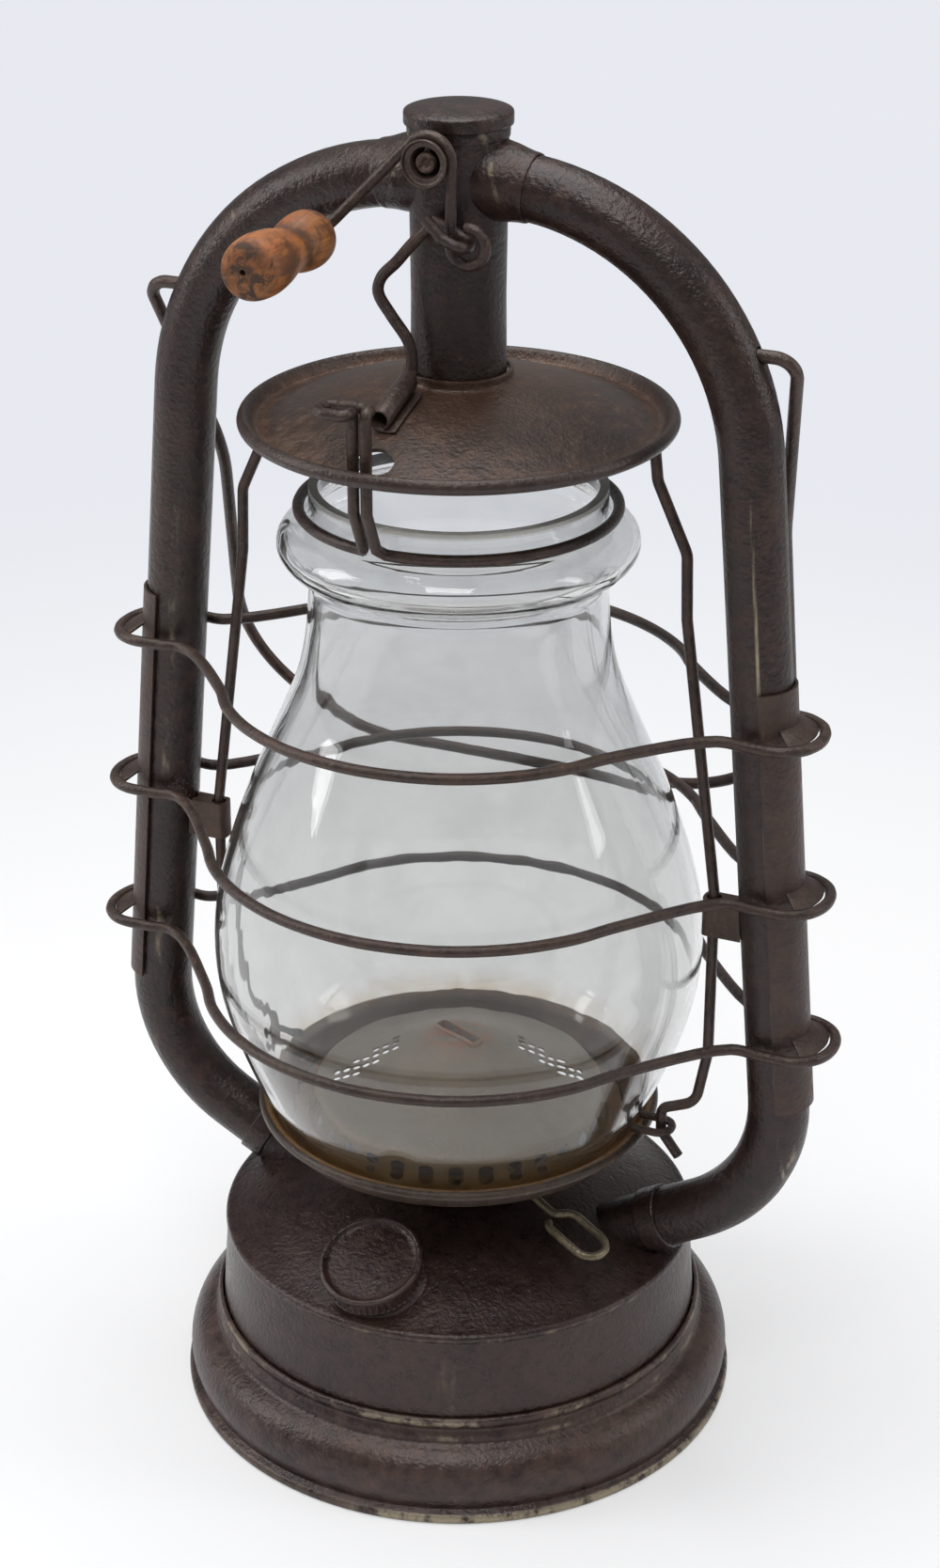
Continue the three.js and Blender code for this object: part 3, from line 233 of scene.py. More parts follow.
# Round wire or tube along a line in millimetres
def wirePiece(name, points, radius, closed=False, roundness=3):
    clearSelection()
    bpy.ops.curve.primitive_nurbs_path_add(location=(0, 0, 0))
    piece = bpy.context.object
    piece.name = name
    data = piece.data
    data.splines.clear()
    run = data.splines.new("POLY")
    run.points.add(len(points) - 1)
    for point, place in zip(run.points, points):
        point.co = (mm(place[0]), mm(place[1]), mm(place[2]), 1)
    run.use_cyclic_u = closed
    data.dimensions = "3D"
    data.bevel_depth = mm(radius)
    data.bevel_resolution = roundness
    data.use_fill_caps = not closed
    pickOnly(piece)
    bpy.ops.object.convert(target="MESH")
    piece = bpy.context.object
    closeMesh(piece)
    smoothPiece(piece, 50)
    return piece


def rodCutter(start, stop, radius, sides=24):
    start, stop = Vector(start), Vector(stop)
    clearSelection()
    bpy.ops.mesh.primitive_cylinder_add(vertices=sides, radius=mm(radius), depth=mm((stop - start).length),
                                        location=[mm(v) for v in (start + stop) / 2])
    cutter = bpy.context.object
    turnTo(cutter, stop - start, "Z")
    applyPlace(cutter)
    return cutter


# Box on the upright axis, from half its length and width
def boxCutter(half, low, high, turn):
    clearSelection()
    bpy.ops.mesh.primitive_cube_add(size=1, location=(0, 0, mm((low + high) / 2)))
    cutter = bpy.context.object
    cutter.scale = (mm(half[0] * 2), mm(half[1] * 2), mm(high - low))
    cutter.rotation_euler = (0, 0, turn)
    applyPlace(cutter)
    return cutter


# Shader maths: a socket whose operators add Math nodes
class Shade:
    def __init__(self, tree, socket=None):
        self.tree = tree
        self.socket = socket

    def node(self, kind, settings=None, sockets=None, output=0):
        made = self.tree.nodes.new(kind)
        for key, value in (settings or {}).items():
            setattr(made, key, value)
        for key, value in (sockets or {}).items():
            if isinstance(value, Shade):
                self.tree.links.new(value.socket, made.inputs[key])
            else:
                made.inputs[key].default_value = value
        return Shade(self.tree, made.outputs[output])

    def maths(self, operation, first, second=0.0):
        return self.node("ShaderNodeMath", {"operation": operation}, {0: first, 1: second})

    def __add__(self, other):
        return self.maths("ADD", self, other)

    __radd__ = __add__

    def __sub__(self, other):
        return self.maths("SUBTRACT", self, other)

    def __rsub__(self, other):
        return self.maths("SUBTRACT", other, self)

    def __mul__(self, other):
        return self.maths("MULTIPLY", self, other)

    __rmul__ = __mul__

    def __pow__(self, other):
        return self.maths("POWER", self, other)

    def step(self, low, high):
        return self.node("ShaderNodeMapRange", {"interpolation_type": "SMOOTHSTEP"},
                         {"Value": self, "From Min": low, "From Max": high})

    def size(self):
        return self.maths("ABSOLUTE", self)

    def clamp(self):
        return self.node("ShaderNodeClamp", {}, {0: self})

    def mix(self, first, second):
        return self.node("ShaderNodeMix", {"data_type": "RGBA"}, {0: self, 6: first, 7: second}, 2)


def startMaterial(name):
    material = bpy.data.materials.new(name)
    material.use_nodes = True
    material.node_tree.nodes.clear()
    maker = Shade(material.node_tree)
    place = maker.node("ShaderNodeTexCoord", output="Object")
    return material, maker, place


def finishMaterial(maker, surface):
    output = maker.tree.nodes.new("ShaderNodeOutputMaterial")
    maker.tree.links.new(surface.socket, output.inputs["Surface"])


def finishSurface(maker, sockets):
    finishMaterial(maker, maker.node("ShaderNodeBsdfPrincipled", {}, sockets))


def stretched(maker, place, scale):
    return maker.node("ShaderNodeMapping", {}, {"Vector": place, "Scale": scale})


def noise(maker, place, scale, detail=4.0, rough=0.55, twist=0.0):
    return maker.node("ShaderNodeTexNoise", {}, {
        "Vector": place, "Scale": scale, "Detail": detail, "Roughness": rough, "Distortion": twist})


def bumpOf(maker, strength, distance, height):
    return maker.node("ShaderNodeBump", {}, {
        "Strength": strength, "Distance": mm(distance), "Height": height})


def axes(maker, place):
    return [maker.node("ShaderNodeSeparateXYZ", {}, {0: place}, i) for i in range(3)]


def reachOf(maker, place):
    x, y, z = axes(maker, place)
    return (x * x + y * y) ** 0.5, z


# Nothing before a place and one from a width past it
def riseAt(value, place, width):
    return value.step(mm(place), mm(place + width))


# One within the inner distance of a place and nothing past the outer one
def bandAt(value, place, inner, outer):
    return 1 - (value - mm(place)).size().step(mm(inner), mm(outer))


# Colour as a paint chart gives it, from 0 to 255
def rgb(red, green, blue):
    def linear(value):
        value /= 255
        return value / 12.92 if value <= 0.04045 else ((value + 0.055) / 1.055) ** 2.4
    return (linear(red), linear(green), linear(blue), 1)


# Straight run of a side tube: a point at its foot and how far it leans in for each millimetre up
sideRun = {"x": 91.2, "z": 78.0, "slope": 0.085961}


def tubeReach(height):
    return sideRun["x"] - (height - sideRun["z"]) * sideRun["slope"]


# Old tinplate with brown patina, rust bloom, pale scuffs and a fine skin
tinLook = {
    "dark": rgb(40, 27, 25), "light": rgb(62, 45, 41), "rust": rgb(82, 51, 35), "pale": rgb(158, 146, 124),
    "olive": rgb(68, 57, 44), "pit": rgb(28, 20, 18), "rustAmount": 0.3, "gloss": 0.36, "metal": 0.22,
    "scuff": 0.3,
}


def tinMaterial(name, look=None, worn=None, stain=None):
    look = {**tinLook, **(look or {})}
    material, maker, place = startMaterial(name)
    cloud = noise(maker, place, 30, 5, 0.6, 0.4)
    grain = noise(maker, place, 260, 6, 0.65)
    speck = noise(maker, place, 900, 3, 0.6)
    skin = noise(maker, place, 820, 3, 0.55)
    tone = (cloud * 0.4 + grain * 0.6).step(0.34, 0.68)
    colour = tone.mix(look["dark"], look["light"])
    patch = noise(maker, place, 26, 6, 0.66, 0.5)
    bloom = (patch * 0.55 + grain * 0.45).step(0.5, 0.66) * look["rustAmount"]
    colour = bloom.mix(colour, look["rust"])
    olive = (noise(maker, place, 17, 4, 0.6) * 0.6 + speck * 0.4).step(0.5, 0.64) * 0.35
    colour = olive.mix(colour, look["olive"])
    pits = speck.step(0.66, 0.8) * 0.3
    colour = pits.mix(colour, look["pit"])
    streak = noise(maker, stretched(maker, place, (1, 1, 0.16)), 420, 4, 0.6)
    scuff = (streak * grain * 2).step(0.78, 0.98) * look["scuff"]
    if worn:
        scuff = (scuff + worn(maker, place, grain)).clamp()
    colour = scuff.mix(colour, look["pale"])
    if stain:
        colour = stain(maker, place, grain, colour)
    height = skin * 0.75 + grain * 0.4 + cloud * 0.4 - pits * 0.15
    finishSurface(maker, {
        "Base Color": colour, "Roughness": look["gloss"] + bloom * 0.3 + (grain - 0.5) * 0.3 + scuff * 0.08,
        "Metallic": look["metal"] - bloom * 0.2 + scuff * 0.2, "Normal": bumpOf(maker, 0.7, 0.6, height)})
    return material


# Where the finish is worn or stained, with places in millimetres
footMarks = {"rim": 73.9, "rimTop": 1.4, "shoulder": 24.8, "bead": 20.6}
tankMarks = {"edge": 48.4, "rubTop": 36, "side": 60}
tubeMarks = {"seam": 1.9, "patch": 3.6, "leftSeam": 2.2, "runTop": 252, "elbowTop": 60, "elbowReach": 80}
sleeveMarks = {"height": 331, "reach": 13.4}
hoodMarks = {"centre": 14, "groove": 48.4, "rim": 49.8}
plateMarks = {"rimTop": 80.4, "inside": 47.9, "floor": 79.5, "slope": 0.62}
domeMarks = {"skirtTop": 86.5, "slot": 5}


def footWear(maker, place, grain):
    x, y, z = axes(maker, place)
    reach = (x * x + y * y) ** 0.5
    patch = noise(maker, place, 34, 4, 0.6)
    worn = (patch * 0.7 + (x - y * 0.5).step(mm(20), mm(75)) * 0.36).step(0.38, 0.52)
    low = 1 - riseAt(z, footMarks["rimTop"], 2)
    edge = riseAt(reach, footMarks["rim"], 0.7) * low * grain.step(0.34, 0.56)
    ridge = bandAt(z, footMarks["shoulder"], 0.3, 1.6) * patch.step(0.48, 0.56) * grain.step(0.42, 0.6)
    bead = bandAt(z, footMarks["bead"], 0.2, 1.0) * patch.step(0.5, 0.6) * grain.step(0.46, 0.62)
    return edge * (worn * 0.9 + 0.12) + ridge * 0.7 + bead * 0.5


def tankWear(maker, place, grain):
    reach, z = reachOf(maker, place)
    edge = bandAt(z, tankMarks["edge"], 0.3, 1.2)
    drip = noise(maker, stretched(maker, place, (1, 1, 0.06)), 90, 4, 0.6)
    low = 1 - riseAt(z, tankMarks["rubTop"], 10)
    rubbed = drip.step(0.60, 0.72) * low * grain.step(0.36, 0.6) * 0.3
    side = riseAt(reach, tankMarks["side"], 2)
    return edge * grain.step(0.50, 0.68) * 0.35 + rubbed * side


def tubeWear(maker, place, grain):
    x, y, z = axes(maker, place)
    middle = mm(sideRun["x"]) - (z - mm(sideRun["z"])) * sideRun["slope"]
    long = noise(maker, stretched(maker, place, (1, 1, 0.09)), 260, 4, 0.6)
    blotch = noise(maker, stretched(maker, place, (1, 1, 0.3)), 150, 5, 0.65)
    seam = bandAt(x - middle, tubeMarks["seam"], 0.15, 0.6)
    patch = bandAt(x - middle, tubeMarks["patch"], 0.6, 2.2)
    leftSeam = bandAt(x + middle, tubeMarks["leftSeam"], 0.2, 1.4)
    front = 1 - y.step(mm(-3), mm(1))
    straight = 1 - riseAt(z, tubeMarks["runTop"], 18)
    lines = seam * long.step(0.42, 0.60) + patch * blotch.step(0.60, 0.70) * 0.8
    low = 1 - riseAt(z, tubeMarks["elbowTop"], 10)
    outer = riseAt(x, tubeMarks["elbowReach"], 10)
    elbow = low * blotch.step(0.56, 0.68) * outer * 0.9
    return (lines + leftSeam * blotch.step(0.50, 0.66) * 0.6) * front * straight + elbow


def sleeveWear(maker, place, grain):
    x, y, z = axes(maker, place)
    solder = bandAt(x.size() + (z - mm(sleeveMarks["height"])) * 0.3, sleeveMarks["reach"], 0.2, 0.9)
    high = riseAt(z, sleeveMarks["height"] - 2, 5)
    return solder * grain.step(0.38, 0.6) * high * 0.55


def hoodStain(maker, place, grain, colour):
    reach, z = reachOf(maker, place)
    cloud = noise(maker, place, 34, 6, 0.68, 0.6)
    centre = 1 - riseAt(reach, hoodMarks["centre"], 26)
    groove = bandAt(reach, hoodMarks["groove"], 0.8, 3.4)
    rusty = centre * 0.45 + groove * 0.5 + (cloud * 0.6 + grain * 0.4).step(0.44, 0.62) * 0.5
    colour = (rusty.clamp() * 0.75).mix(colour, rgb(88, 59, 39))
    film = (grain * 0.6 + cloud * 0.4).step(0.52, 0.66) * 0.4
    colour = film.mix(colour, rgb(92, 82, 74))
    rim = riseAt(reach, hoodMarks["rim"], 1.6)
    return (rim * 0.75).mix(colour, rgb(52, 41, 37))


def plateStain(maker, place, grain, colour):
    reach, z = reachOf(maker, place)
    amber = noise(maker, place, 42, 5, 0.6, 0.5).step(0.36, 0.6)
    slant = reach - (z - mm(plateMarks["rimTop"])) * plateMarks["slope"]
    within = 1 - riseAt(slant, plateMarks["inside"], 0.6)
    inside = within * riseAt(z, plateMarks["floor"], 0.5)
    colour = (inside * (0.55 + amber * 0.35)).mix(colour, rgb(146, 106, 56))
    return (inside * grain.step(0.5, 0.66) * 0.5).mix(colour, rgb(92, 64, 36))


def domeStain(maker, place, grain, colour):
    reach, z = reachOf(maker, place)
    cloud = noise(maker, place, 48, 5, 0.62, 0.4)
    colour = (0.35 + cloud.step(0.4, 0.62) * 0.4).mix(colour, rgb(132, 118, 98))
    skirt = 1 - riseAt(z, domeMarks["skirtTop"], 3.5)
    colour = (skirt * 0.7).mix(colour, rgb(158, 128, 80))
    scorch = 1 - riseAt(reach, domeMarks["slot"], 7)
    return (scorch * grain.step(0.4, 0.56) * 0.85).mix(colour, rgb(142, 84, 42))


# The foot's lighter tone is partly painted highlight, so the foot reads brighter than the other tin
footTin = tinMaterial("footTin", {"light": rgb(76, 58, 53), "rustAmount": 0.25, "gloss": 0.32}, footWear)
tankTin = tinMaterial("tankTin", {"gloss": 0.3, "rustAmount": 0.15, "scuff": 0.15}, tankWear)
# The tubes, crown and frame take darker tones than the other tin, partly painted shade
tubeTin = tinMaterial("tubeTin", {
    "dark": rgb(34, 23, 21), "light": rgb(54, 38, 34), "gloss": 0.33}, tubeWear)
frameTin = tinMaterial("frameTin", {
    "dark": rgb(33, 22, 20), "light": rgb(53, 38, 33), "gloss": 0.35}, sleeveWear)
stripTin = tinMaterial("stripTin", {
    "dark": rgb(52, 39, 35), "light": rgb(74, 56, 48), "rustAmount": 0.5, "gloss": 0.42})
hoodTin = tinMaterial("hoodTin", {
    "dark": rgb(48, 36, 32), "light": rgb(70, 54, 46), "rustAmount": 0.5, "metal": 0.25}, None, hoodStain)
plateTin = tinMaterial("plateTin", {"dark": rgb(50, 40, 34), "light": rgb(74, 60, 48)}, None, plateStain)
domeTin = tinMaterial("domeTin", {
    "dark": rgb(96, 84, 70), "light": rgb(128, 114, 94), "gloss": 0.42}, None, domeStain)
wireTin = tinMaterial("wireTin", {
    "dark": rgb(46, 35, 32), "light": rgb(74, 57, 49), "rustAmount": 0.5, "gloss": 0.4, "scuff": 0.35})
rustyTin = tinMaterial("rustyTin", {
    "dark": rgb(56, 41, 34), "light": rgb(84, 62, 50), "rustAmount": 0.6, "gloss": 0.46})
clipTin = tinMaterial("clipTin", {"dark": rgb(58, 46, 42), "light": rgb(86, 70, 62)})
loopTin = tinMaterial("loopTin", {
    "dark": rgb(96, 86, 68), "light": rgb(142, 130, 106), "rustAmount": 0.5, "gloss": 0.34, "metal": 0.6})


def brassMaterial():
    material, maker, place = startMaterial("oldBrass")
    cloud = noise(maker, place, 90, 5, 0.6, 0.4)
    grain = noise(maker, place, 480, 5, 0.6)
    colour = cloud.step(0.38, 0.64).mix(rgb(92, 68, 40), rgb(146, 112, 66))
    tarnish = (cloud * 0.5 + grain * 0.5).step(0.48, 0.66) * 0.8
    colour = tarnish.mix(colour, rgb(58, 44, 32))
    finishSurface(maker, {
        "Base Color": colour, "Roughness": 0.34 + tarnish * 0.3, "Metallic": 0.85 - tarnish * 0.4,
        "Normal": bumpOf(maker, 0.3, 0.2, grain)})
    return material


gripMarks = {"waist": -37.5, "frontEnd": -57.2, "backEnd": -25.6}


def woodMaterial():
    material, maker, place = startMaterial("turnedWood")
    x, y, z = axes(maker, place)
    fibre = noise(maker, stretched(maker, place, (1, 0.07, 1)), 620, 6, 0.62, 0.5)
    band = noise(maker, stretched(maker, place, (1, 0.2, 1)), 150, 4, 0.55, 0.8)
    grime = noise(maker, place, 110, 6, 0.65, 0.4)
    speck = noise(maker, place, 900, 3, 0.6)
    colour = band.step(0.34, 0.66).mix(rgb(118, 68, 34), rgb(168, 110, 62))
    warm = noise(maker, place, 70, 4, 0.6, 0.3).step(0.46, 0.62)
    colour = (warm * 0.5).mix(colour, rgb(158, 88, 38))
    colour = (fibre.step(0.46, 0.62) * 0.6).mix(colour, rgb(100, 54, 26))
    colour = (grime.step(0.50, 0.66) * 0.8).mix(colour, rgb(74, 46, 28))
    waist = bandAt(y, gripMarks["waist"], 1.5, 5)
    colour = (waist * grime.step(0.40, 0.58) * 0.7).mix(colour, rgb(58, 38, 26))
    front = 1 - riseAt(y, gripMarks["frontEnd"], 2.6)
    ends = front + riseAt(y, gripMarks["backEnd"], 1.8)
    blotch = noise(maker, place, 320, 5, 0.65, 0.6).step(0.44, 0.58)
    colour = (ends * (0.35 + blotch * 0.65)).mix(colour, rgb(60, 40, 26))
    colour = (speck.step(0.64, 0.74) * 0.6).mix(colour, rgb(60, 34, 18))
    height = fibre * 0.6 + grime * 0.6 + speck * 0.2
    finishSurface(maker, {
        "Base Color": colour, "Roughness": 0.36 + grime * 0.25 + ends * 0.3,
        "Normal": bumpOf(maker, 0.4, 0.4, height)})
    return material


glassMarks = {"lip": 255.4, "soot": 82}


def glassMaterial():
    material, maker, place = startMaterial("pressedGlass")
    reach, z = reachOf(maker, place)
    wave = noise(maker, stretched(maker, place, (1, 1, 0.5)), 26, 3, 0.5, 0.5)
    grain = noise(maker, place, 700, 4, 0.6)
    film = noise(maker, place, 60, 6, 0.65, 0.4)
    lip = riseAt(z, glassMarks["lip"], 1.4)
    soot = (1 - riseAt(z, glassMarks["soot"], 14)) * film.step(0.3, 0.6)
    # Clear glass tinted grey: partly painted shade that darkens what is seen through the globe
    colour = soot.mix((0.84, 0.845, 0.84, 1), rgb(206, 178, 132))
    colour = (lip * grain.step(0.3, 0.6)).mix(colour, rgb(228, 222, 204))
    rough = 0.02 + lip * 0.45 + soot * 0.12 + film.step(0.6, 0.8) * 0.06
    bump = bumpOf(maker, 0.25, 1.2, wave + lip * grain)
    clear = maker.node("ShaderNodeBsdfPrincipled", {}, {
        "Base Color": colour, "Roughness": rough, "Transmission Weight": 1.0, "IOR": 1.47, "Normal": bump})
    # Dark matt layer over the glass: partly dust, partly painted shade over what is seen through it
    dustAndShade = maker.node("ShaderNodeBsdfPrincipled", {}, {
        "Base Color": film.mix((0.20, 0.19, 0.18, 1), (0.34, 0.33, 0.31, 1)), "Roughness": 0.7,
        "Normal": bump})
    cover = 0.03 + film.step(0.4, 0.7) * 0.035 + lip * 0.25
    finishMaterial(maker, maker.node("ShaderNodeMixShader", {}, {0: cover, 1: clear, 2: dustAndShade}))
    return material


clothMarks = {"scorch": 94}


def clothMaterial(name, first, second, scale):
    material, maker, place = startMaterial(name)
    x, y, z = axes(maker, place)
    warp = maker.maths("SINE", (x + y * 0.4) * scale)
    weft = maker.maths("SINE", z * scale)
    weave = (warp * weft) * 0.5 + 0.5
    fuzz = noise(maker, place, 1400, 4, 0.6)
    colour = (weave * 0.6 + fuzz * 0.4).step(0.3, 0.7).mix(first, second)
    scorch = riseAt(z, clothMarks["scorch"], 4)
    colour = (scorch * 0.9).mix(colour, rgb(44, 28, 18))
    finishSurface(maker, {
        "Base Color": colour, "Roughness": 0.85 + fuzz * 0.1,
        "Normal": bumpOf(maker, 0.5, 0.3, weave + fuzz * 0.4)})
    return material


oldBrass = brassMaterial()
turnedWood = woodMaterial()
pressedGlass = glassMaterial()
wickCotton = clothMaterial("wickCotton", rgb(170, 138, 92), rgb(206, 178, 132), 5200)
capGasket = clothMaterial("capGasket", rgb(96, 72, 48), rgb(132, 102, 70), 2400)
print("materials made")

# Foot and tank
foot = {"radius": 75.0, "height": 26.2, "steps": 144}
footShares = [
    (0.868, 1.0), (0.881, 0.985), (0.882, 0.93), (0.873, 0.87), (0.885, 0.80), (0.89, 0.74),
    (0.925, 0.69), (0.962, 0.60), (0.984, 0.46), (0.989, 0.32), (0.978, 0.19), (0.972, 0.125),
    (0.996, 0.085), (1.0, 0.04), (0.994, 0.0), (0.966, 0.0), (0.955, 0.06), (0.957, 0.19),
    (0.966, 0.32), (0.961, 0.45), (0.942, 0.56), (0.915, 0.62), (0.878, 0.68), (0.868, 0.74),
]
footSkirt = turnPiece("footSkirt", scaled(footShares, foot["radius"], 0, foot["height"]), 3, foot["steps"])
settle(footSkirt, "frame", "brown_tinplate", footTin, "base_foot")

tank = {"radius": 64.6, "bottom": 4.0, "height": 61.74, "wall": 0.8, "floorTop": 20, "roofShare": 0.6,
        "steps": 144}
tankShares = [
    (0.0, 0.0), (0.93, 0.0), (0.975, 0.012), (1.0, 0.05), (1.0, 0.30), (0.9985, 0.36), (0.975, 0.69),
    (0.973, 0.705), (0.980, 0.718), (0.981, 0.732), (0.974, 0.745), (0.95, 0.752), (0.90, 0.772),
    (0.78, 0.827), (0.66, 0.880), (0.54, 0.932), (0.45, 0.968), (0.39, 0.988), (0.318, 0.994),
]
tankOuter = scaled(tankShares, tank["radius"], tank["bottom"], tank["height"])
tankInner = []
for r, z in reversed(tankOuter):
    lift = tank["wall"] if z < tank["floorTop"] else -tank["wall"] * tank["roofShare"]
    tankInner.append((max(r - tank["wall"], 0), z + lift))
tankInner[0] = (tankOuter[-1][0], tankOuter[-1][1] - tank["wall"])
tankShell = turnPiece("tankShell", tankOuter + tankInner, 2, tank["steps"], closed=False)

filler = {"seat": (-1.71, -48.97, 54.6), "lean": math.radians(23.5), "turn": math.radians(-92),
          "neck": 10.6, "gap": 0.3, "cutBelow": 5, "cutAbove": 8}
fillerDir = Vector((math.sin(filler["lean"]) * math.cos(filler["turn"]),
                    math.sin(filler["lean"]) * math.sin(filler["turn"]), math.cos(filler["lean"])))
fillerSeat = Vector(filler["seat"])
cutAway(tankShell, rodCutter(
    fillerSeat - fillerDir * filler["cutBelow"], fillerSeat + fillerDir * filler["cutAbove"],
    filler["neck"] + filler["gap"], 48))
smoothPiece(tankShell)
settle(tankShell, "frame", "brown_tinplate", tankTin, "fuel_tank")


def ontoFiller(piece):
    piece.rotation_mode = "QUATERNION"
    piece.rotation_quaternion = Vector((0, 0, 1)).rotation_difference(fillerDir)
    piece.location = [mm(v) for v in fillerSeat]
    applyPlace(piece)


cap = {"bottom": 3.1, "top": 9.5, "rows": 192, "knurlReach": 12.5, "knurlLow": 3.2, "knurlHigh": 7.0,
       "knurlShare": 0.965}
capKeys = [  # radius and height above the neck's seat
    (0, 8.0), (6, 8.05), (9.6, 8.2), (11.4, 8.35), (12.0, 8.7), (12.4, 9.35), (12.9, cap["top"]),
    (13.4, 9.25), (13.5, 8.6), (13.3, 8.0), (12.9, 7.6), (12.85, 7.2), (12.85, 3.6), (12.8, cap["bottom"]),
    (11.45, cap["bottom"]), (11.4, 3.6), (11.4, 7.1), (11.2, 7.2), (0, 7.2),
]
fillerLid = turnPiece("fillerLid", capKeys, 2, cap["rows"], closed=False)
for vertex in fillerLid.data.vertices:  # every second pair of rows is pressed in as knurling
    reach = math.hypot(vertex.co.x, vertex.co.y)
    turn = (math.atan2(vertex.co.y, vertex.co.x) % (2 * math.pi)) / (2 * math.pi)
    inBand = mm(cap["knurlLow"]) < vertex.co.z < mm(cap["knurlHigh"])
    if reach > mm(cap["knurlReach"]) and inBand and round(turn * cap["rows"]) % 4 < 2:
        vertex.co.x *= cap["knurlShare"]
        vertex.co.y *= cap["knurlShare"]
smoothPiece(fillerLid, 30)
ontoFiller(fillerLid)
settle(fillerLid, "filler_closure", "brown_tinplate", tankTin, "filler_cap")

beadKeys = [(10.9, 0.6), (12.4, -0.2), (13.6, -0.9), (13.9, -0.5), (12.8, 0.6), (11.4, 1.5), (10.9, 1.6)]
fillerBead = turnPiece("fillerBead", beadKeys, 3, 96)
ontoFiller(fillerBead)
settle(fillerBead, "frame", "brown_tinplate", tankTin)
print("foot and tank made")

# Burner
collarKeys = [
    (18.95, 65.72), (24.6, 65.72), (25.9, 65.9), (26.5, 66.6), (26.5, 68.2), (25.7, 68.9), (23.9, 69.1),
    (22.9, 69.5), (22.7, 69.88), (19.0, 69.88),
]
burnerRing = turnPiece("burnerRing", collarKeys, 3, 96)
settle(burnerRing, "frame", "brown_tinplate", frameTin, "burner_collar")

burner = {"wickTurn": math.radians(-22), "slotHalf": (7.45, 2.1), "slotLow": 59, "slotHigh": 97,
          "holes": 8, "hole": 1.5, "holeHeight": 72.2, "holeInner": 13, "holeOuter": 22}
bodyKeys = [
    (0, 77.0), (12.0, 76.98), (16.0, 76.9), (17.8, 76.3), (18.6, 75.2), (18.6, 74.0), (18.6, 62.0),
    (18.55, 60.82), (17.65, 60.82), (17.6, 62.0), (17.6, 74.6), (16.4, 75.8), (12.0, 76.0), (0, 76.0),
]
burnerShell = turnPiece("burnerShell", bodyKeys, 2, 72, closed=False)
raiser = {"origin": (-2.36, -5.841, 79.4), "way": (0.895575, -0.361836, -0.258819), "inner": -5.0,
          "wire": 1.1, "bore": 1.76, "boreInner": 1, "boreOuter": 40, "wheel": 5.4, "wheelInner": -0.4,
          "wheelOuter": 2.4, "loopReach": 43.5, "loopLength": 17.0, "loopHalf": 4.7, "loopNeck": 2.2,
          "loopEnd": (1.1, -3.3), "bends": [2.2, 3.76, 4.5, 4.5, 2.8]}
raiserSide = Vector((-math.sin(burner["wickTurn"]), math.cos(burner["wickTurn"]), 0))


def onRaiser(out, aside=0):
    return Vector(raiser["origin"]) + Vector(raiser["way"]) * out + raiserSide * aside


def onLoop(out, aside):
    return onRaiser(raiser["loopReach"] + out, aside)


cutAway(burnerShell, rodCutter(
    onRaiser(raiser["wheelInner"]), onRaiser(raiser["wheelOuter"]), raiser["wheel"], 32))
cutAway(burnerShell, rodCutter(
    onRaiser(raiser["boreInner"]), onRaiser(raiser["boreOuter"]), raiser["bore"], 16))
cutAway(burnerShell, boxCutter(burner["slotHalf"], burner["slotLow"], burner["slotHigh"], burner["wickTurn"]))
for k in range(burner["holes"]):
    way = spoke((k + 0.5) / burner["holes"])
    lift = Vector((0, 0, burner["holeHeight"]))
    cutAway(burnerShell, rodCutter(
        way * burner["holeInner"] + lift, way * burner["holeOuter"] + lift, burner["hole"], 16))
smoothPiece(burnerShell)
settle(burnerShell, "frame", "old_brass", oldBrass, "burner_body")

spindleLine = bentLine([
    onRaiser(raiser["inner"]), onLoop(0, 0), onLoop(raiser["loopNeck"], raiser["loopHalf"]),
    onLoop(raiser["loopLength"], raiser["loopHalf"]), onLoop(raiser["loopLength"], -raiser["loopHalf"]),
    onLoop(raiser["loopNeck"], -raiser["loopHalf"]), onLoop(*raiser["loopEnd"])], raiser["bends"], 0.2)
wickKnob = wirePiece("wickKnob", spindleLine, raiser["wire"])
settle(wickKnob, "wick_knob", "old_brass", loopTin, "wick_raiser")
print("burner made")

# Side tubes, their collars, the centre tube and the crown
tube = {"radius": 7.9, "path": [(6.6, 333.3), (70.0, 324.9), (sideRun["x"], sideRun["z"]), (42.0, 51.0)],
        "bends": [64.0, 40.0], "bailHole": 2.1, "bailHeight": 298.6, "bailInner": 71.5, "bailOuter": 84}
collar = {"turn": math.radians(97.5), "reach": 12.0, "height": 332.6}
sleeveKeys = [
    (7.95, -5.6), (9.5, -5.6), (9.35, 0), (9.1, 1.6), (8.7, 3.4), (8.4, 5.2), (8.25, 6.8), (8.1, 7.05),
    (7.95, 7.0),
]
shoulder = {"path": [(60.6, 61.2), (58.2, 59.9), (55.2, 58.25)], "wall": 0.75, "bevel": 0.4}
for side, sign in bothSides:
    airTube = wirePiece(side + "AirTube", bentLine(upright(tube["path"], sign), tube["bends"], 0.09),
                        tube["radius"], roundness=7)
    cutAway(airTube, rodCutter((sign * tube["bailInner"], 0, tube["bailHeight"]),
                               (sign * tube["bailOuter"], 0, tube["bailHeight"]), tube["bailHole"]))
    smoothPiece(airTube, 50)
    settle(airTube, "frame", "brown_tinplate", tubeTin, side + "_side_tube")
    sleeve = turnPiece(side + "TubeCollar", sleeveKeys, 3, 64)
    sleeve.rotation_euler = (0, sign * collar["turn"], 0)
    sleeve.location = (mm(sign * collar["reach"]), 0, mm(collar["height"]))
    settle(sleeve, "frame", "brown_tinplate", frameTin, side + "_tube_sleeve")
    bell = wirePiece(side + "TubeShoulder", upright(shoulder["path"], sign),
                     tube["radius"] + shoulder["wall"], roundness=7)
    bevelEdges(bell, shoulder["bevel"])
    smoothPiece(bell)
    settle(bell, "frame", "brown_tinplate", tankTin)

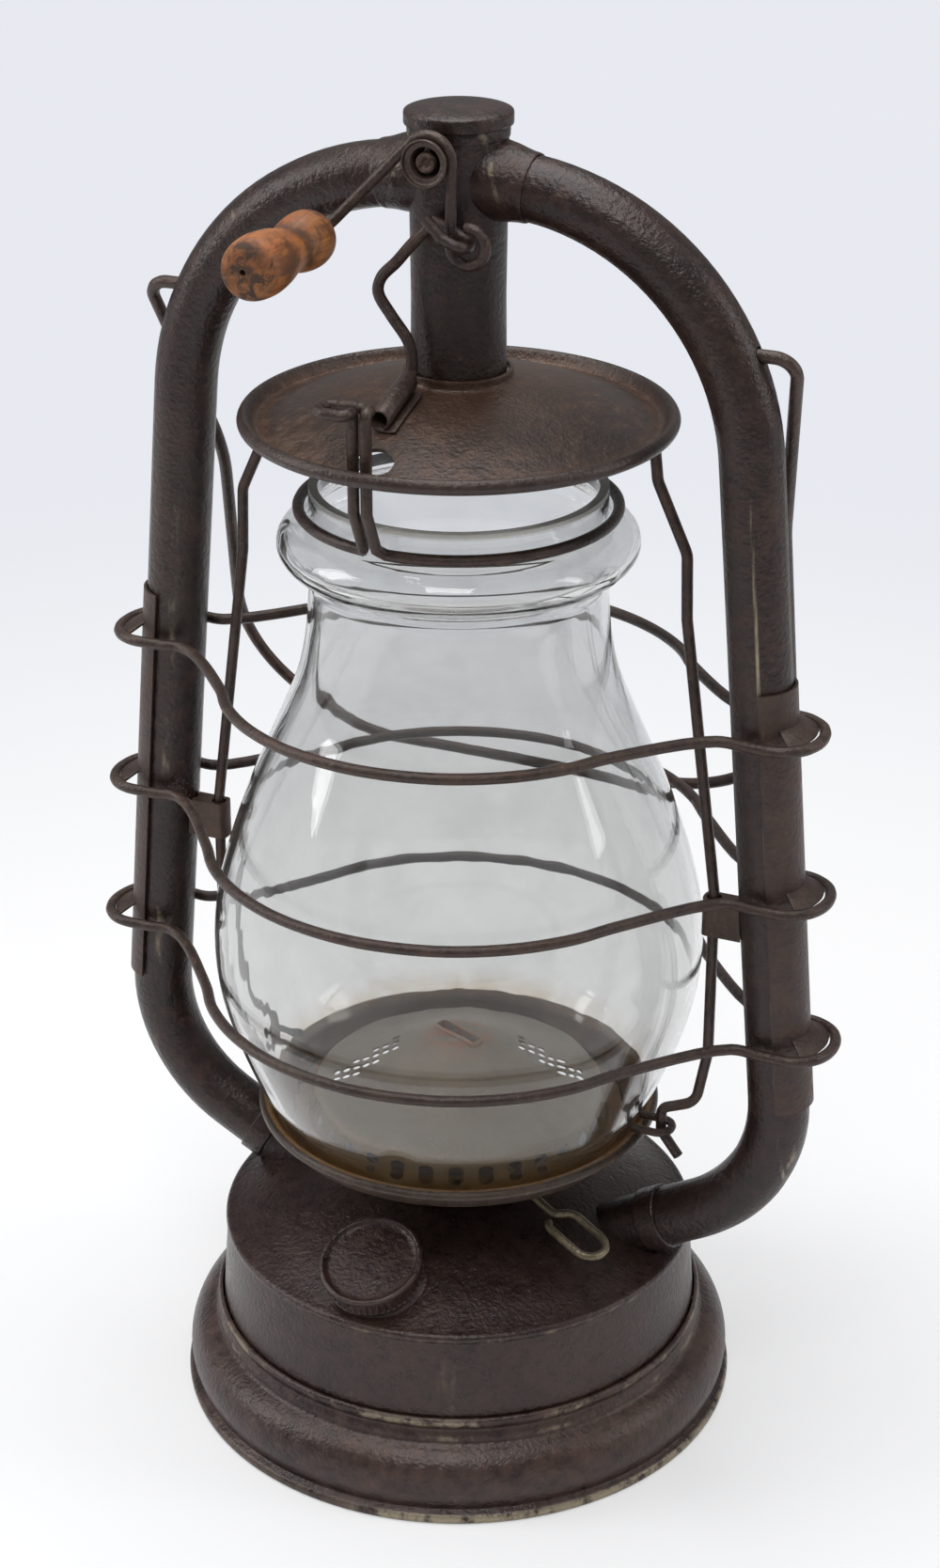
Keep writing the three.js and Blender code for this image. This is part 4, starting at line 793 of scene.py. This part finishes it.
centreKeys = [
    (11.0, 262.1), (11.4, 262.0), (11.8, 262.2), (11.8, 264), (11.8, 342.4), (12.05, 342.6), (12.1, 343.2),
    (12.1, 345.1), (11.8, 345.6), (11.8, 346.5), (11.0, 346.5), (11.0, 345), (11.0, 264),
]
centrePipe = turnPiece("centrePipe", centreKeys, 2, 96)
settle(centrePipe, "frame", "brown_tinplate", frameTin, "centre_tube")
crownKeys = [
    (0, 349.6), (5.0, 349.55), (8.6, 349.35), (11.0, 349.0), (12.3, 348.6), (12.75, 348.3), (12.9, 347.8),
    (12.9, 346.8), (12.9, 345.7), (12.8, 345.35), (12.5, 345.25), (12.15, 345.3), (12.1, 346.3),
    (11.7, 346.85), (0, 346.9),
]
crownLid = turnPiece("crownLid", crownKeys, 3, 96, closed=False)
settle(crownLid, "frame", "brown_tinplate", tubeTin, "crown_cap")
print("tubes made")

# Wire guard and its strips
guard = {"wire": 1.45, "lobe": 15.0, "wrap": 10.95,
         "heights": {"upper": 205.5, "middle": 162.5, "lower": 122.0},
         "fronts": {"upper": 60.0, "middle": 65.0, "lower": 66.6}, "rounds": (-30, -42, -56, -72)}
for level, height in guard["heights"].items():
    reach, front, lobe, wrap = tubeReach(height), guard["fronts"][level], guard["lobe"], guard["wrap"]
    quarter = [(reach + lobe, 0), (reach + lobe * 0.88, -wrap * 0.62), (reach + lobe * 0.55, -wrap * 0.98),
               (reach, -wrap * 1.02), (reach - lobe * 0.55, -wrap)]
    for degrees in guard["rounds"]:
        a = math.radians(degrees)
        quarter.append((front * math.cos(a), front * math.sin(a)))
    knots = quarter + [(0, -front)] + [(-x, y) for x, y in reversed(quarter)]
    knots += [(-x, -y) for x, y in quarter[1:]] + [(0, front)] + [(x, -y) for x, y in quarter[:0:-1]]
    ring = [(p[0], p[1], height) for p in smoothLine(knots, 6, True)]
    guardWire = wirePiece(level + "GuardWire", ring, guard["wire"], True)
    settle(guardWire, "frame", "dark_wire", wireTin, "guard_wire_" + level)

strip = {"top": 217.5, "bottom": 104.0, "inner": 8.2, "wall": 0.7, "half": math.radians(78), "endCut": 11}
tab = {"wide": 13.3, "narrow": 8.3, "height": 3.4, "rise": 1.1, "edge": 7.2, "bevel": 0.3}
stripLean = math.atan(sideRun["slope"])
stripLength = (strip["top"] - strip["bottom"]) / math.cos(stripLean)
for side, sign in bothSides:
    clearSelection()
    bpy.ops.mesh.primitive_cylinder_add(vertices=72, radius=mm(strip["inner"]), depth=mm(stripLength),
                                        end_fill_type="NOTHING", location=(0, 0, mm(stripLength / 2)))
    cover = bpy.context.object
    cover.name = side + "GuardStrip"
    applyPlace(cover)
    bpy.ops.object.mode_set(mode="EDIT")
    bpy.ops.mesh.select_all(action="SELECT")
    bpy.ops.mesh.subdivide(number_cuts=1)
    bpy.ops.object.mode_set(mode="OBJECT")
    pickFaces(cover, lambda face: face.center.x < mm(strip["inner"]) * math.cos(strip["half"]))
    bpy.ops.mesh.delete(type="FACE")
    bpy.ops.mesh.select_all(action="SELECT")
    bpy.ops.mesh.bisect(plane_co=(0, 0, mm(stripLength - strip["endCut"])), plane_no=(-0.72, -0.1, 0.69),
                        clear_outer=False)
    bpy.ops.object.mode_set(mode="OBJECT")
    applyModifier(cover, "SOLIDIFY", thickness=mm(strip["wall"]), offset=1.0)
    parts = [cover]
    for height in guard["heights"].values():  # rolled tab round each guard wire
        along = (height - strip["bottom"]) / math.cos(stripLean)
        clearSelection()
        bpy.ops.mesh.primitive_cone_add(vertices=48, radius1=mm(tab["wide"]), radius2=mm(tab["narrow"]),
                                        depth=mm(tab["height"]), end_fill_type="NOTHING",
                                        location=(0, 0, mm(along + tab["rise"])))
        flare = bpy.context.object
        applyPlace(flare)
        pickFaces(flare, lambda face: face.center.x < mm(tab["edge"]))
        bpy.ops.mesh.delete(type="FACE")
        bpy.ops.object.mode_set(mode="OBJECT")
        applyModifier(flare, "SOLIDIFY", thickness=mm(strip["wall"]), offset=0.0)
        bevelEdges(flare, tab["bevel"])
        parts.append(flare)
    cover = joinPieces(parts)
    cover.rotation_euler = (0, -stripLean, 0)
    cover.location = (mm(tubeReach(strip["bottom"])), 0, mm(strip["bottom"]))
    applyPlace(cover)
    if sign < 0:
        cover.scale = (-1, 1, 1)
        applyPlace(cover)
    closeMesh(cover)
    smoothPiece(cover)
    settle(cover, "frame", "brown_tinplate", stripTin, "guard_strip_" + side)
print("guard made")

# Lever boss and pin
lever = {"plane": -17.4, "height": 340.0, "wire": 1.35, "wrap": 5.91, "bend": 4.5, "eye": (9.8, 321.2),
         "eyeRadius": 4.4, "eyeTurns": 0.77, "armEnd": -53.1}


def ontoLever(piece):
    piece.rotation_euler = (math.pi / 2, 0, 0)
    piece.location = (0, 0, mm(lever["height"]))
    applyPlace(piece)


bossKeys = [
    (3.5, 12.15), (4.7, 12.15), (4.7, 12.9), (4.25, 13.4), (4.2, 14.2), (4.2, 18.6), (4.35, 18.9),
    (5.2, 19.0), (5.5, 19.2), (5.6, 19.7), (5.6, 20.2), (5.45, 20.4), (5.2, 20.4), (5.1, 20.1),
    (5.0, 19.6), (4.6, 19.35), (3.8, 19.2), (3.6, 18.8), (3.5, 17.5),
]
leverHub = turnPiece("leverHub", bossKeys, 2, 64)
ontoLever(leverHub)
settle(leverHub, "frame", "brown_tinplate", clipTin, "lever_boss")

rivet = {"slotHalf": (3, 0.35), "slotLow": 18.75, "slotHigh": 21, "slotTurn": 0.6}
pinKeys = [
    (0, 18.4), (0.7, 18.5), (1.2, 19.2), (1.8, 19.45), (2.3, 19.2), (2.5, 18.6), (2.4, 17.4), (1.5, 17.2),
    (1.5, 12.2), (0, 12.2),
]
rivetPin = turnPiece("rivetPin", pinKeys, 2, 32, closed=False)
cutAway(rivetPin, boxCutter(rivet["slotHalf"], rivet["slotLow"], rivet["slotHigh"], rivet["slotTurn"]))
smoothPiece(rivetPin)
ontoLever(rivetPin)
settle(rivetPin, "frame", "brown_tinplate", rustyTin, "lever_pin")

# Carriage: hood, carrier wires, globe plate, draught dome and globe
hood = {"radius": 53.6, "base": 272.4, "rise": 14.4, "slotPlace": (-3.0, -43.1), "slotRadius": 5.1,
        "slotWidthShare": 1.08, "slotLow": 271.4, "slotHigh": 288}
hoodShares = [
    (0.246, 1.0), (0.2465, 0.93), (0.248, 0.86), (0.262, 0.825), (0.30, 0.795), (0.45, 0.665),
    (0.62, 0.475), (0.80, 0.225), (0.88, 0.105), (0.905, 0.078), (0.920, 0.086), (0.935, 0.145),
    (0.952, 0.235), (0.970, 0.272), (0.988, 0.24), (1.0, 0.145), (0.992, 0.06), (0.972, 0.012),
    (0.946, 0.01), (0.925, 0.022), (0.892, 0.03), (0.80, 0.165), (0.62, 0.415), (0.45, 0.607),
    (0.30, 0.742), (0.24, 0.785), (0.2296, 0.83), (0.2296, 1.0),
]
hoodDish = turnPiece("hoodDish", scaled(hoodShares, hood["radius"], hood["base"], hood["rise"]), 3, 144)
slotRim = rodCutter((*hood["slotPlace"], hood["slotLow"]), (*hood["slotPlace"], hood["slotHigh"]),
                    hood["slotRadius"], 40)
slotRim.scale = (hood["slotWidthShare"], 1.0, 1.0)
cutAway(hoodDish, slotRim)
smoothPiece(hoodDish)
settle(hoodDish, "carriage", "rusty_tinplate", hoodTin, "hood_disc")

carrier = {"wire": 1.4, "bends": [6, 6, 12, 24, 6, 6, 2.6, 2.6], "path": [
    (50.6, 272.1), (51.4, 265.0), (59.4, 247.5), (59.9, 231.0), (69.6, 158.5), (69.6, 113.0), (66.8, 97.5),
    (57.6, 93.6), (57.6, 86.84), (62.6, 80.2)]}
ear = {"inner": 50.8, "outer": 60.4, "half": 3.6, "height": 88, "wire": 1.1}
for side, sign in bothSides:
    hanger = wirePiece(side + "CarrierWire", bentLine(upright(carrier["path"], sign), carrier["bends"]),
                       carrier["wire"])
    settle(hanger, "carriage", "dark_wire", wireTin, "carrier_wire_" + side)
    corners = [(ear["inner"], -1), (ear["outer"], -1), (ear["outer"], 1), (ear["inner"], 1)]
    way = bentLine([(sign * x, aside * ear["half"], ear["height"]) for x, aside in corners], ear["half"])
    plateEar = wirePiece(side + "PlateEar", way, ear["wire"])
    settle(plateEar, "carriage", "dark_wire", wireTin, "plate_ear_" + side)

plate = {"radius": 53.4, "base": 79.4, "height": 7.2}
plateShares = [
    (0.72, 0.0), (0.87, 0.0), (0.895, 0.02), (0.917, 0.09), (0.945, 0.46), (0.952, 0.60), (0.966, 0.65),
    (0.984, 0.655), (0.998, 0.72), (1.0, 0.83), (0.990, 0.95), (0.968, 1.0), (0.948, 0.94), (0.936, 0.80),
    (0.928, 0.52), (0.902, 0.21), (0.877, 0.111), (0.72, 0.111),
]
plateLine = scaled(plateShares, plate["radius"], plate["base"], plate["height"])
globeDish = turnPiece("globeDish", plateLine, 3, 144)
settle(globeDish, "carriage", "rusty_tinplate", plateTin, "globe_plate")

dome = {"radius": 40.6, "base": 80.5, "height": 22.0, "wall": 0.38,
        "slotHalf": (7.1, 1.7), "slotLow": 98.1, "slotHigh": 103.5,
        "holes": 32, "hole": 2.05, "holeHeight": 84.2, "holeInner": 34.5, "holeOuter": 44.7}
domeShares = [
    (1.0, 0.0), (0.985, 0.06), (0.966, 0.24), (0.95, 0.335), (0.925, 0.38), (0.86, 0.425), (0.62, 0.60),
    (0.40, 0.80), (0.26, 0.925), (0.17, 0.985), (0.10, 1.0), (0.0, 1.0),
]
domeOuter = scaled(domeShares, dome["radius"], dome["base"], dome["height"])
domeInner = [(max(r - dome["wall"], 0), z - dome["wall"]) for r, z in reversed(domeOuter)]
domeInner[-1] = (domeOuter[0][0] - dome["wall"], dome["base"])
draughtCone = turnPiece("draughtCone", domeInner + domeOuter, 2, 96, closed=False)
cutAway(draughtCone, boxCutter(dome["slotHalf"], dome["slotLow"], dome["slotHigh"], burner["wickTurn"]))
cutters = []
for k in range(dome["holes"]):
    way = spoke(k / dome["holes"])
    base = Vector((0, 0, dome["holeHeight"]))
    cutters.append(rodCutter(
        way * dome["holeInner"] + base, way * dome["holeOuter"] + base, dome["hole"], 16))

# Two clusters of small holes, each a slanted grid of seven rows
ember = {"radius": 1.08, "reach": 17.0, "step": 3.1, "rowShare": 0.85, "rows": 7, "aside": 4.2, "slant": 1.3,
         "turn": math.radians(23.5), "low": 81, "high": 102}
for way in (1, -1):
    a = ember["turn"] + (0 if way > 0 else math.pi)
    for row in range(ember["rows"]):
        reach = ember["reach"] + row * ember["step"] * ember["rowShare"]
        for column in ((-1, 1) if row % 2 else (-2, 0, 2)):
            aside = (ember["aside"] - row * ember["slant"]) * way + column * ember["step"] * 0.5
            x = reach * math.cos(a) - aside * math.sin(a)
            y = reach * math.sin(a) + aside * math.cos(a)
            cutters.append(rodCutter((x, y, ember["low"]), (x, y, ember["high"]), ember["radius"], 12))
cutAway(draughtCone, joinPieces(cutters))
smoothPiece(draughtCone)
settle(draughtCone, "carriage", "rusty_tinplate", domeTin, "draught_dome")

lip = {"outerHalf": (7.6, 2.2), "innerHalf": (6.8, 1.45), "low": 98.4, "high": 103.4,
       "cutLow": 97, "cutHigh": 105, "round": 1.0, "bevel": 0.12}
slotLip = boxCutter(lip["outerHalf"], lip["low"], lip["high"], burner["wickTurn"])
slotLip.name = "slotLip"
bevelEdges(slotLip, lip["round"], 3)
cutAway(slotLip, boxCutter(lip["innerHalf"], lip["cutLow"], lip["cutHigh"], burner["wickTurn"]))
bevelEdges(slotLip, lip["bevel"])
smoothPiece(slotLip)
settle(slotLip, "carriage", "rusty_tinplate", domeTin)

globe = {"bottom": 80.5, "top": 257.4, "radius": 63.7, "wall": 2.2}
globeShares = [
    (0.735, 0.0), (0.775, 0.035), (0.829, 0.068), (0.871, 0.103), (0.939, 0.170), (0.986, 0.235),
    (1.0, 0.299), (0.987, 0.361), (0.950, 0.421), (0.873, 0.510), (0.808, 0.569), (0.706, 0.655),
    (0.640, 0.713), (0.604, 0.770), (0.588, 0.827), (0.592, 0.868), (0.635, 0.884), (0.683, 0.899),
    (0.704, 0.915), (0.694, 0.933), (0.650, 0.948), (0.596, 0.957), (0.580, 0.972), (0.577, 1.0),
]
globeLine = smoothLine(
    scaled(globeShares, globe["radius"], globe["bottom"], globe["top"] - globe["bottom"]), 3)
globeBack = []
for i, point in enumerate(globeLine):  # inner wall, square to the outer one
    along = (globeLine[min(i + 1, len(globeLine) - 1)] - globeLine[max(i - 1, 0)]).normalized()
    height = min(max(point[1] + along[0] * globe["wall"], globe["bottom"]), globe["top"])
    globeBack.append((point[0] - along[1] * globe["wall"], height))
globeBack[0] = (globeBack[0][0], globe["bottom"])
globeBack[-1] = (globeBack[-1][0], globe["top"])
globeShell = turnPiece("globeShell", [tuple(p) for p in globeLine] + globeBack[::-1], 1, 144)
settle(globeShell, "carriage", "clear_glass", pressedGlass, "globe")
print("carriage made")

# Neck ring with its finger loop
neck = {"x": -4.6, "y": -46.4, "legHalf": 1.65, "ring": 39.3, "ringHeight": 251.9, "gap": 0.04, "steps": 96,
        "loopHeight": 288.4, "length": 8.2, "width": 7.2, "wire": 1.45, "kneeHeight": 264.0,
        "footReach": 2.2, "footHeight": 253.8, "bends": [2.2, 1.32, 1.76, 3.78, 3.78, 1.76, 1.32, 2.2]}
legRight, legLeft = neck["x"] + neck["legHalf"], neck["x"] - neck["legHalf"]
gapCentre = math.asin(neck["x"] / neck["ring"]) - math.pi / 2
gapAngle = math.asin(neck["legHalf"] / neck["ring"]) + neck["gap"]
neckLine = []
for s in range(neck["steps"] + 1):
    a = gapCentre + gapAngle + 2 * (math.pi - gapAngle) * s / neck["steps"]
    neckLine.append(Vector((neck["ring"] * math.cos(a), neck["ring"] * math.sin(a), neck["ringHeight"])))
y, top, wide = neck["y"], neck["loopHeight"], neck["width"] / 2
knee, footY = neck["kneeHeight"], -neck["ring"] - neck["footReach"]
neckLine += bentLine([
    (legLeft, footY, neck["footHeight"]), (legLeft, y, knee), (legLeft, y, top), (legLeft, y - wide, top),
    (legLeft - neck["length"], y - wide, top), (legLeft - neck["length"], y + wide, top),
    (legRight, y + wide, top), (legRight, y, top), (legRight, y, knee),
    (legRight, footY, neck["footHeight"])], neck["bends"], 0.25)
neckWire = wirePiece("neckWire", neckLine, neck["wire"], True)
settle(neckWire, "globe_retainer", "dark_wire", wireTin, "neck_ring")

# Clip on the hood and the link that hangs the carriage from the lever
clip = {"x": -5.8, "backY": -16.6, "frontY": -33.0, "backZ": 287.1, "drop": 4.9, "roll": 2.3, "wall": 0.55,
        "bevel": 0.15, "flange": [(-0.6, -2.35), (1.0, -2.45), (2.6, -2.5), (4.0, -2.2)]}
clipFall = clip["drop"] / (clip["backY"] - clip["frontY"])


def onClip(y):
    return Vector((clip["x"], y, clip["backZ"] + (y - clip["backY"]) * clipFall))


roll = []
for s in range(15):  # rolled eye, then the flange along the hood
    a = math.radians(-62 + 300 * s / 14)
    roll.append((clip["roll"] * math.cos(a), clip["roll"] * math.sin(a)))
tinClip = drawOutline("tinClip", [(mm(x), mm(z)) for x, z in roll + clip["flange"]])
bpy.ops.mesh.extrude_region_move(TRANSFORM_OT_translate={
    "value": (0, mm(clip["frontY"] - clip["backY"]), -mm(clip["drop"]))})
bpy.ops.object.mode_set(mode="OBJECT")
applyModifier(tinClip, "SOLIDIFY", thickness=mm(clip["wall"]), offset=0.0)
tinClip.location = (mm(clip["x"]), mm(clip["backY"]), mm(clip["backZ"]))
closeMesh(tinClip)
bevelEdges(tinClip, clip["bevel"])
smoothPiece(tinClip)
settle(tinClip, "carriage", "rusty_tinplate", clipTin, "link_clip")

link = {"plane": -14.2, "front": -20.8, "inner": -25.0, "wire": 1.42, "footBend": 2.4, "bend": 3.0,
        "hook": (4.7, 323.6), "hookEnd": (0.6, 39.9)}
linkRun = [  # sideways place and rise above the clip
    (-5.9, 5.0), (-6.9, 8.5), (-11.0, 13.9), (-14.4, 19.2), (-13.6, 22.8), (-9.6, 27.0), (-6.2, 31.0),
    (-3.0, 34.4), (0.3, 37.8)]
linkFoot = onClip(link["plane"])
eyeX, eyeZ = lever["eye"]


def linkAt(x, up, y=link["plane"]):
    return Vector((x, y, linkFoot.z + up))


linkLine = bentLine([onClip(link["inner"]), linkFoot, linkAt(*linkRun[0])], link["footBend"], 0.25)[:-1]
linkLine += smoothLine([linkAt(x, up) for x, up in linkRun], 5)
linkLine += bentLine([
    linkAt(*linkRun[-1]), (eyeX, link["plane"], eyeZ), (eyeX, link["front"], eyeZ),
    (link["hook"][0], link["front"], link["hook"][1]), linkAt(*link["hookEnd"], link["front"])],
    link["bend"], 0.25)[1:]
linkWire = wirePiece("linkWire", linkLine, link["wire"])
settle(linkWire, "link", "dark_wire", wireTin, "lift_link")

# Lever wire and turned grip
grip = {"x": -26.5, "drop": 18.5, "inner": 23.0, "length": 35.6, "radius": 7.45,
        "bore": 1.6, "boreStart": -20, "boreEnd": -53.9,
        "hole": 0.75, "holeStart": -61, "holeEnd": -57.4, "holeAside": -0.3, "holeUp": 0.2}
armTurn = math.atan2(-grip["drop"], grip["x"])
wrapStart = armTurn + 2 * math.pi - math.acos(lever["wrap"] / math.hypot(grip["x"], grip["drop"]))
gripZ = lever["height"] - grip["drop"]


def onLever(x, z, radius, turn):
    return Vector((x + radius * math.cos(turn), lever["plane"], z + radius * math.sin(turn)))


leverLine = bentLine([
    (grip["x"], lever["armEnd"], gripZ), (grip["x"], lever["plane"], gripZ),
    onLever(0, lever["height"], lever["wrap"], wrapStart)], lever["bend"], 0.2)
leverLine += [onLever(0, lever["height"], lever["wrap"], wrapStart * (1 - s / 24)) for s in range(1, 25)]
leverLine += [onLever(eyeX, eyeZ, lever["eyeRadius"], math.pi + 2 * math.pi * lever["eyeTurns"] * s / 32)
              for s in range(33)]
leverWire = wirePiece("leverWire", leverLine, lever["wire"])
settle(leverWire, "lever", "dark_wire", wireTin, "lift_lever")

gripShares = [
    (0.0, 0.0), (0.50, 0.0), (0.72, 0.008), (0.84, 0.035), (0.91, 0.09), (0.93, 0.16), (0.88, 0.26),
    (0.78, 0.35), (0.755, 0.42), (0.82, 0.51), (0.93, 0.62), (1.0, 0.75), (0.995, 0.83), (0.95, 0.91),
    (0.86, 0.965), (0.73, 0.99), (0.55, 1.0), (0.0, 1.0),
]
gripLine = scaled(gripShares, grip["radius"], grip["inner"], grip["length"])
woodGrip = turnPiece("woodGrip", gripLine, 3, 96, closed=False)
woodGrip.rotation_euler = (math.pi / 2, 0, 0)
woodGrip.location = (mm(grip["x"]), 0, mm(gripZ))
applyPlace(woodGrip)
holeX, holeZ = grip["x"] + grip["holeAside"], gripZ + grip["holeUp"]
cutAway(woodGrip, rodCutter(
    (holeX, grip["holeStart"], holeZ), (holeX, grip["holeEnd"], holeZ), grip["hole"], 20))
cutAway(woodGrip, rodCutter(
    (grip["x"], grip["boreStart"], gripZ), (grip["x"], grip["boreEnd"], gripZ), grip["bore"], 20))
smoothPiece(woodGrip)
settle(woodGrip, "lever", "turned_wood", turnedWood, "lever_grip")
print("lever made")

# Bail hanging behind
bail = {"lean": math.radians(24.3), "wire": 1.6, "inner": 71.0, "ear": 84.5, "waist": 76.5, "waistDrop": 55.0,
        "spread": 82.0, "skew": 12.0, "length": 158.0, "bends": [5, 60, 42, 42, 60, 5]}


def onBail(x, drop):
    return Vector((x, drop * math.sin(bail["lean"]), tube["bailHeight"] - drop * math.cos(bail["lean"])))


bailLine = bentLine([
    onBail(-bail["inner"], 0), onBail(-bail["ear"], 0), onBail(-bail["waist"], bail["waistDrop"]),
    onBail(-bail["spread"] - bail["skew"], bail["length"]),
    onBail(bail["spread"] - bail["skew"], bail["length"]),
    onBail(bail["waist"], bail["waistDrop"]), onBail(bail["ear"], 0), onBail(bail["inner"], 0)],
    bail["bends"])
bailWire = wirePiece("bailWire", bailLine, bail["wire"])
settle(bailWire, "handle", "dark_wire", wireTin, "bail")

# CAD nodes that stay as they are
keptNodes = {
    "filler_neck": tankTin, "filler_gasket": capGasket, "wick_tube": oldBrass, "wick": wickCotton,
    "raiser_wheel": oldBrass, "guide_bracket_right": rustyTin, "guide_bracket_left": rustyTin,
}
for name, material in keptNodes.items():
    nodes[name].data.materials.clear()
    nodes[name].data.materials.append(material)

# Floor, light and camera
studio = {"floorSize": 8, "floorDrop": 0.0002, "near": (0.97, 0.97, 0.975, 1), "far": (0.80, 0.82, 0.87, 1),
          "fill": (0.95, 0.97, 1.0, 1), "fillStrength": 0.27, "shadowShare": 0.55}


def lookingRay(maker):
    straight = maker.node("ShaderNodeLightPath", output="Is Camera Ray")
    through = maker.node("ShaderNodeLightPath", output="Is Transmission Ray")
    return maker.maths("MAXIMUM", straight, through)


def floorPaint():
    material, maker, place = startMaterial("paleFloor")
    weave = noise(maker, place, 3, 2)
    paint = weave.mix((0.82, 0.82, 0.83, 1), (0.86, 0.86, 0.87, 1))
    matt = maker.node("ShaderNodeBsdfPrincipled", {}, {"Base Color": paint, "Roughness": 0.8})
    reach, z = reachOf(maker, place)
    distance = (reach.step(0.22, 0.75) + (weave - 0.5) * 0.1).clamp()
    tint = distance.mix(studio["near"], studio["far"])
    glow = maker.node("ShaderNodeEmission", {}, {"Color": tint, "Strength": 1.0})
    share = reach.step(0.14, 0.45) * studio["shadowShare"] + (1 - studio["shadowShare"])
    finishMaterial(maker, maker.node("ShaderNodeMixShader", {}, {
        0: lookingRay(maker) * share, 1: matt, 2: glow}))
    return material


clearSelection()
bpy.ops.mesh.primitive_plane_add(size=studio["floorSize"], location=(0, 0, -studio["floorDrop"]))
floor = bpy.context.object
floor.name = "paleFloor"
floor.data.materials.append(floorPaint())

world = bpy.data.worlds.new("studio")
bpy.context.scene.world = world
world.use_nodes = True
world.node_tree.nodes.clear()
maker = Shade(world.node_tree)
backdrop = maker.node("ShaderNodeBackground", {}, {"Color": studio["far"], "Strength": 1.0})
fill = maker.node("ShaderNodeBackground", {}, {"Color": studio["fill"], "Strength": studio["fillStrength"]})
mixed = maker.node("ShaderNodeMixShader", {}, {0: lookingRay(maker), 1: fill, 2: backdrop})
worldOut = maker.tree.nodes.new("ShaderNodeOutputWorld")
maker.tree.links.new(mixed.socket, worldOut.inputs["Surface"])


def softLight(name, place, aim, width, height, power):
    data = bpy.data.lights.new(name, "AREA")
    data.shape = "RECTANGLE"
    data.size = width
    data.size_y = height
    data.energy = power
    lamp = bpy.data.objects.new(name, data)
    bpy.context.scene.collection.objects.link(lamp)
    lamp.location = place
    turnTo(lamp, Vector(aim) - Vector(place), "-Z")


softLight("topSoft", (-0.15, 0.1, 1.35), (0, 0, 0.15), 1.1, 1.0, 13)
softLight("frontSoft", (0.2, -0.7, 1.3), (0, 0, 0.1), 0.5, 0.4, 4.5)
softLight("leftSoft", (-1.1, -0.45, 0.8), (0, 0, 0.16), 0.45, 1.0, 7.5)
softLight("rightSoft", (1.15, 0.35, 0.75), (0, 0, 0.16), 0.4, 0.9, 4)

# Camera of the photograph, in metres and radians
view = {"place": (0.2769, -0.6369, 0.50466), "turn": math.radians(23.5), "pitch": 0.4421, "film": 36,
        "lens": 69.06, "shift": 0.0073, "near": 0.01, "far": 50}
level = math.cos(view["pitch"])
aim = Vector((-math.sin(view["turn"]) * level, math.cos(view["turn"]) * level, -math.sin(view["pitch"])))
cameraData = bpy.data.cameras.new("camera")
camera = bpy.data.objects.new("camera", cameraData)
bpy.context.scene.collection.objects.link(camera)
camera.location = view["place"]
turnTo(camera, aim, "-Z")
cameraData.sensor_width = view["film"]
cameraData.lens = view["lens"]
cameraData.shift_x = view["shift"]
cameraData.clip_start = view["near"]
cameraData.clip_end = view["far"]
bpy.context.scene.camera = camera
bpy.context.scene.view_settings.view_transform = "Standard"
print("stage made")
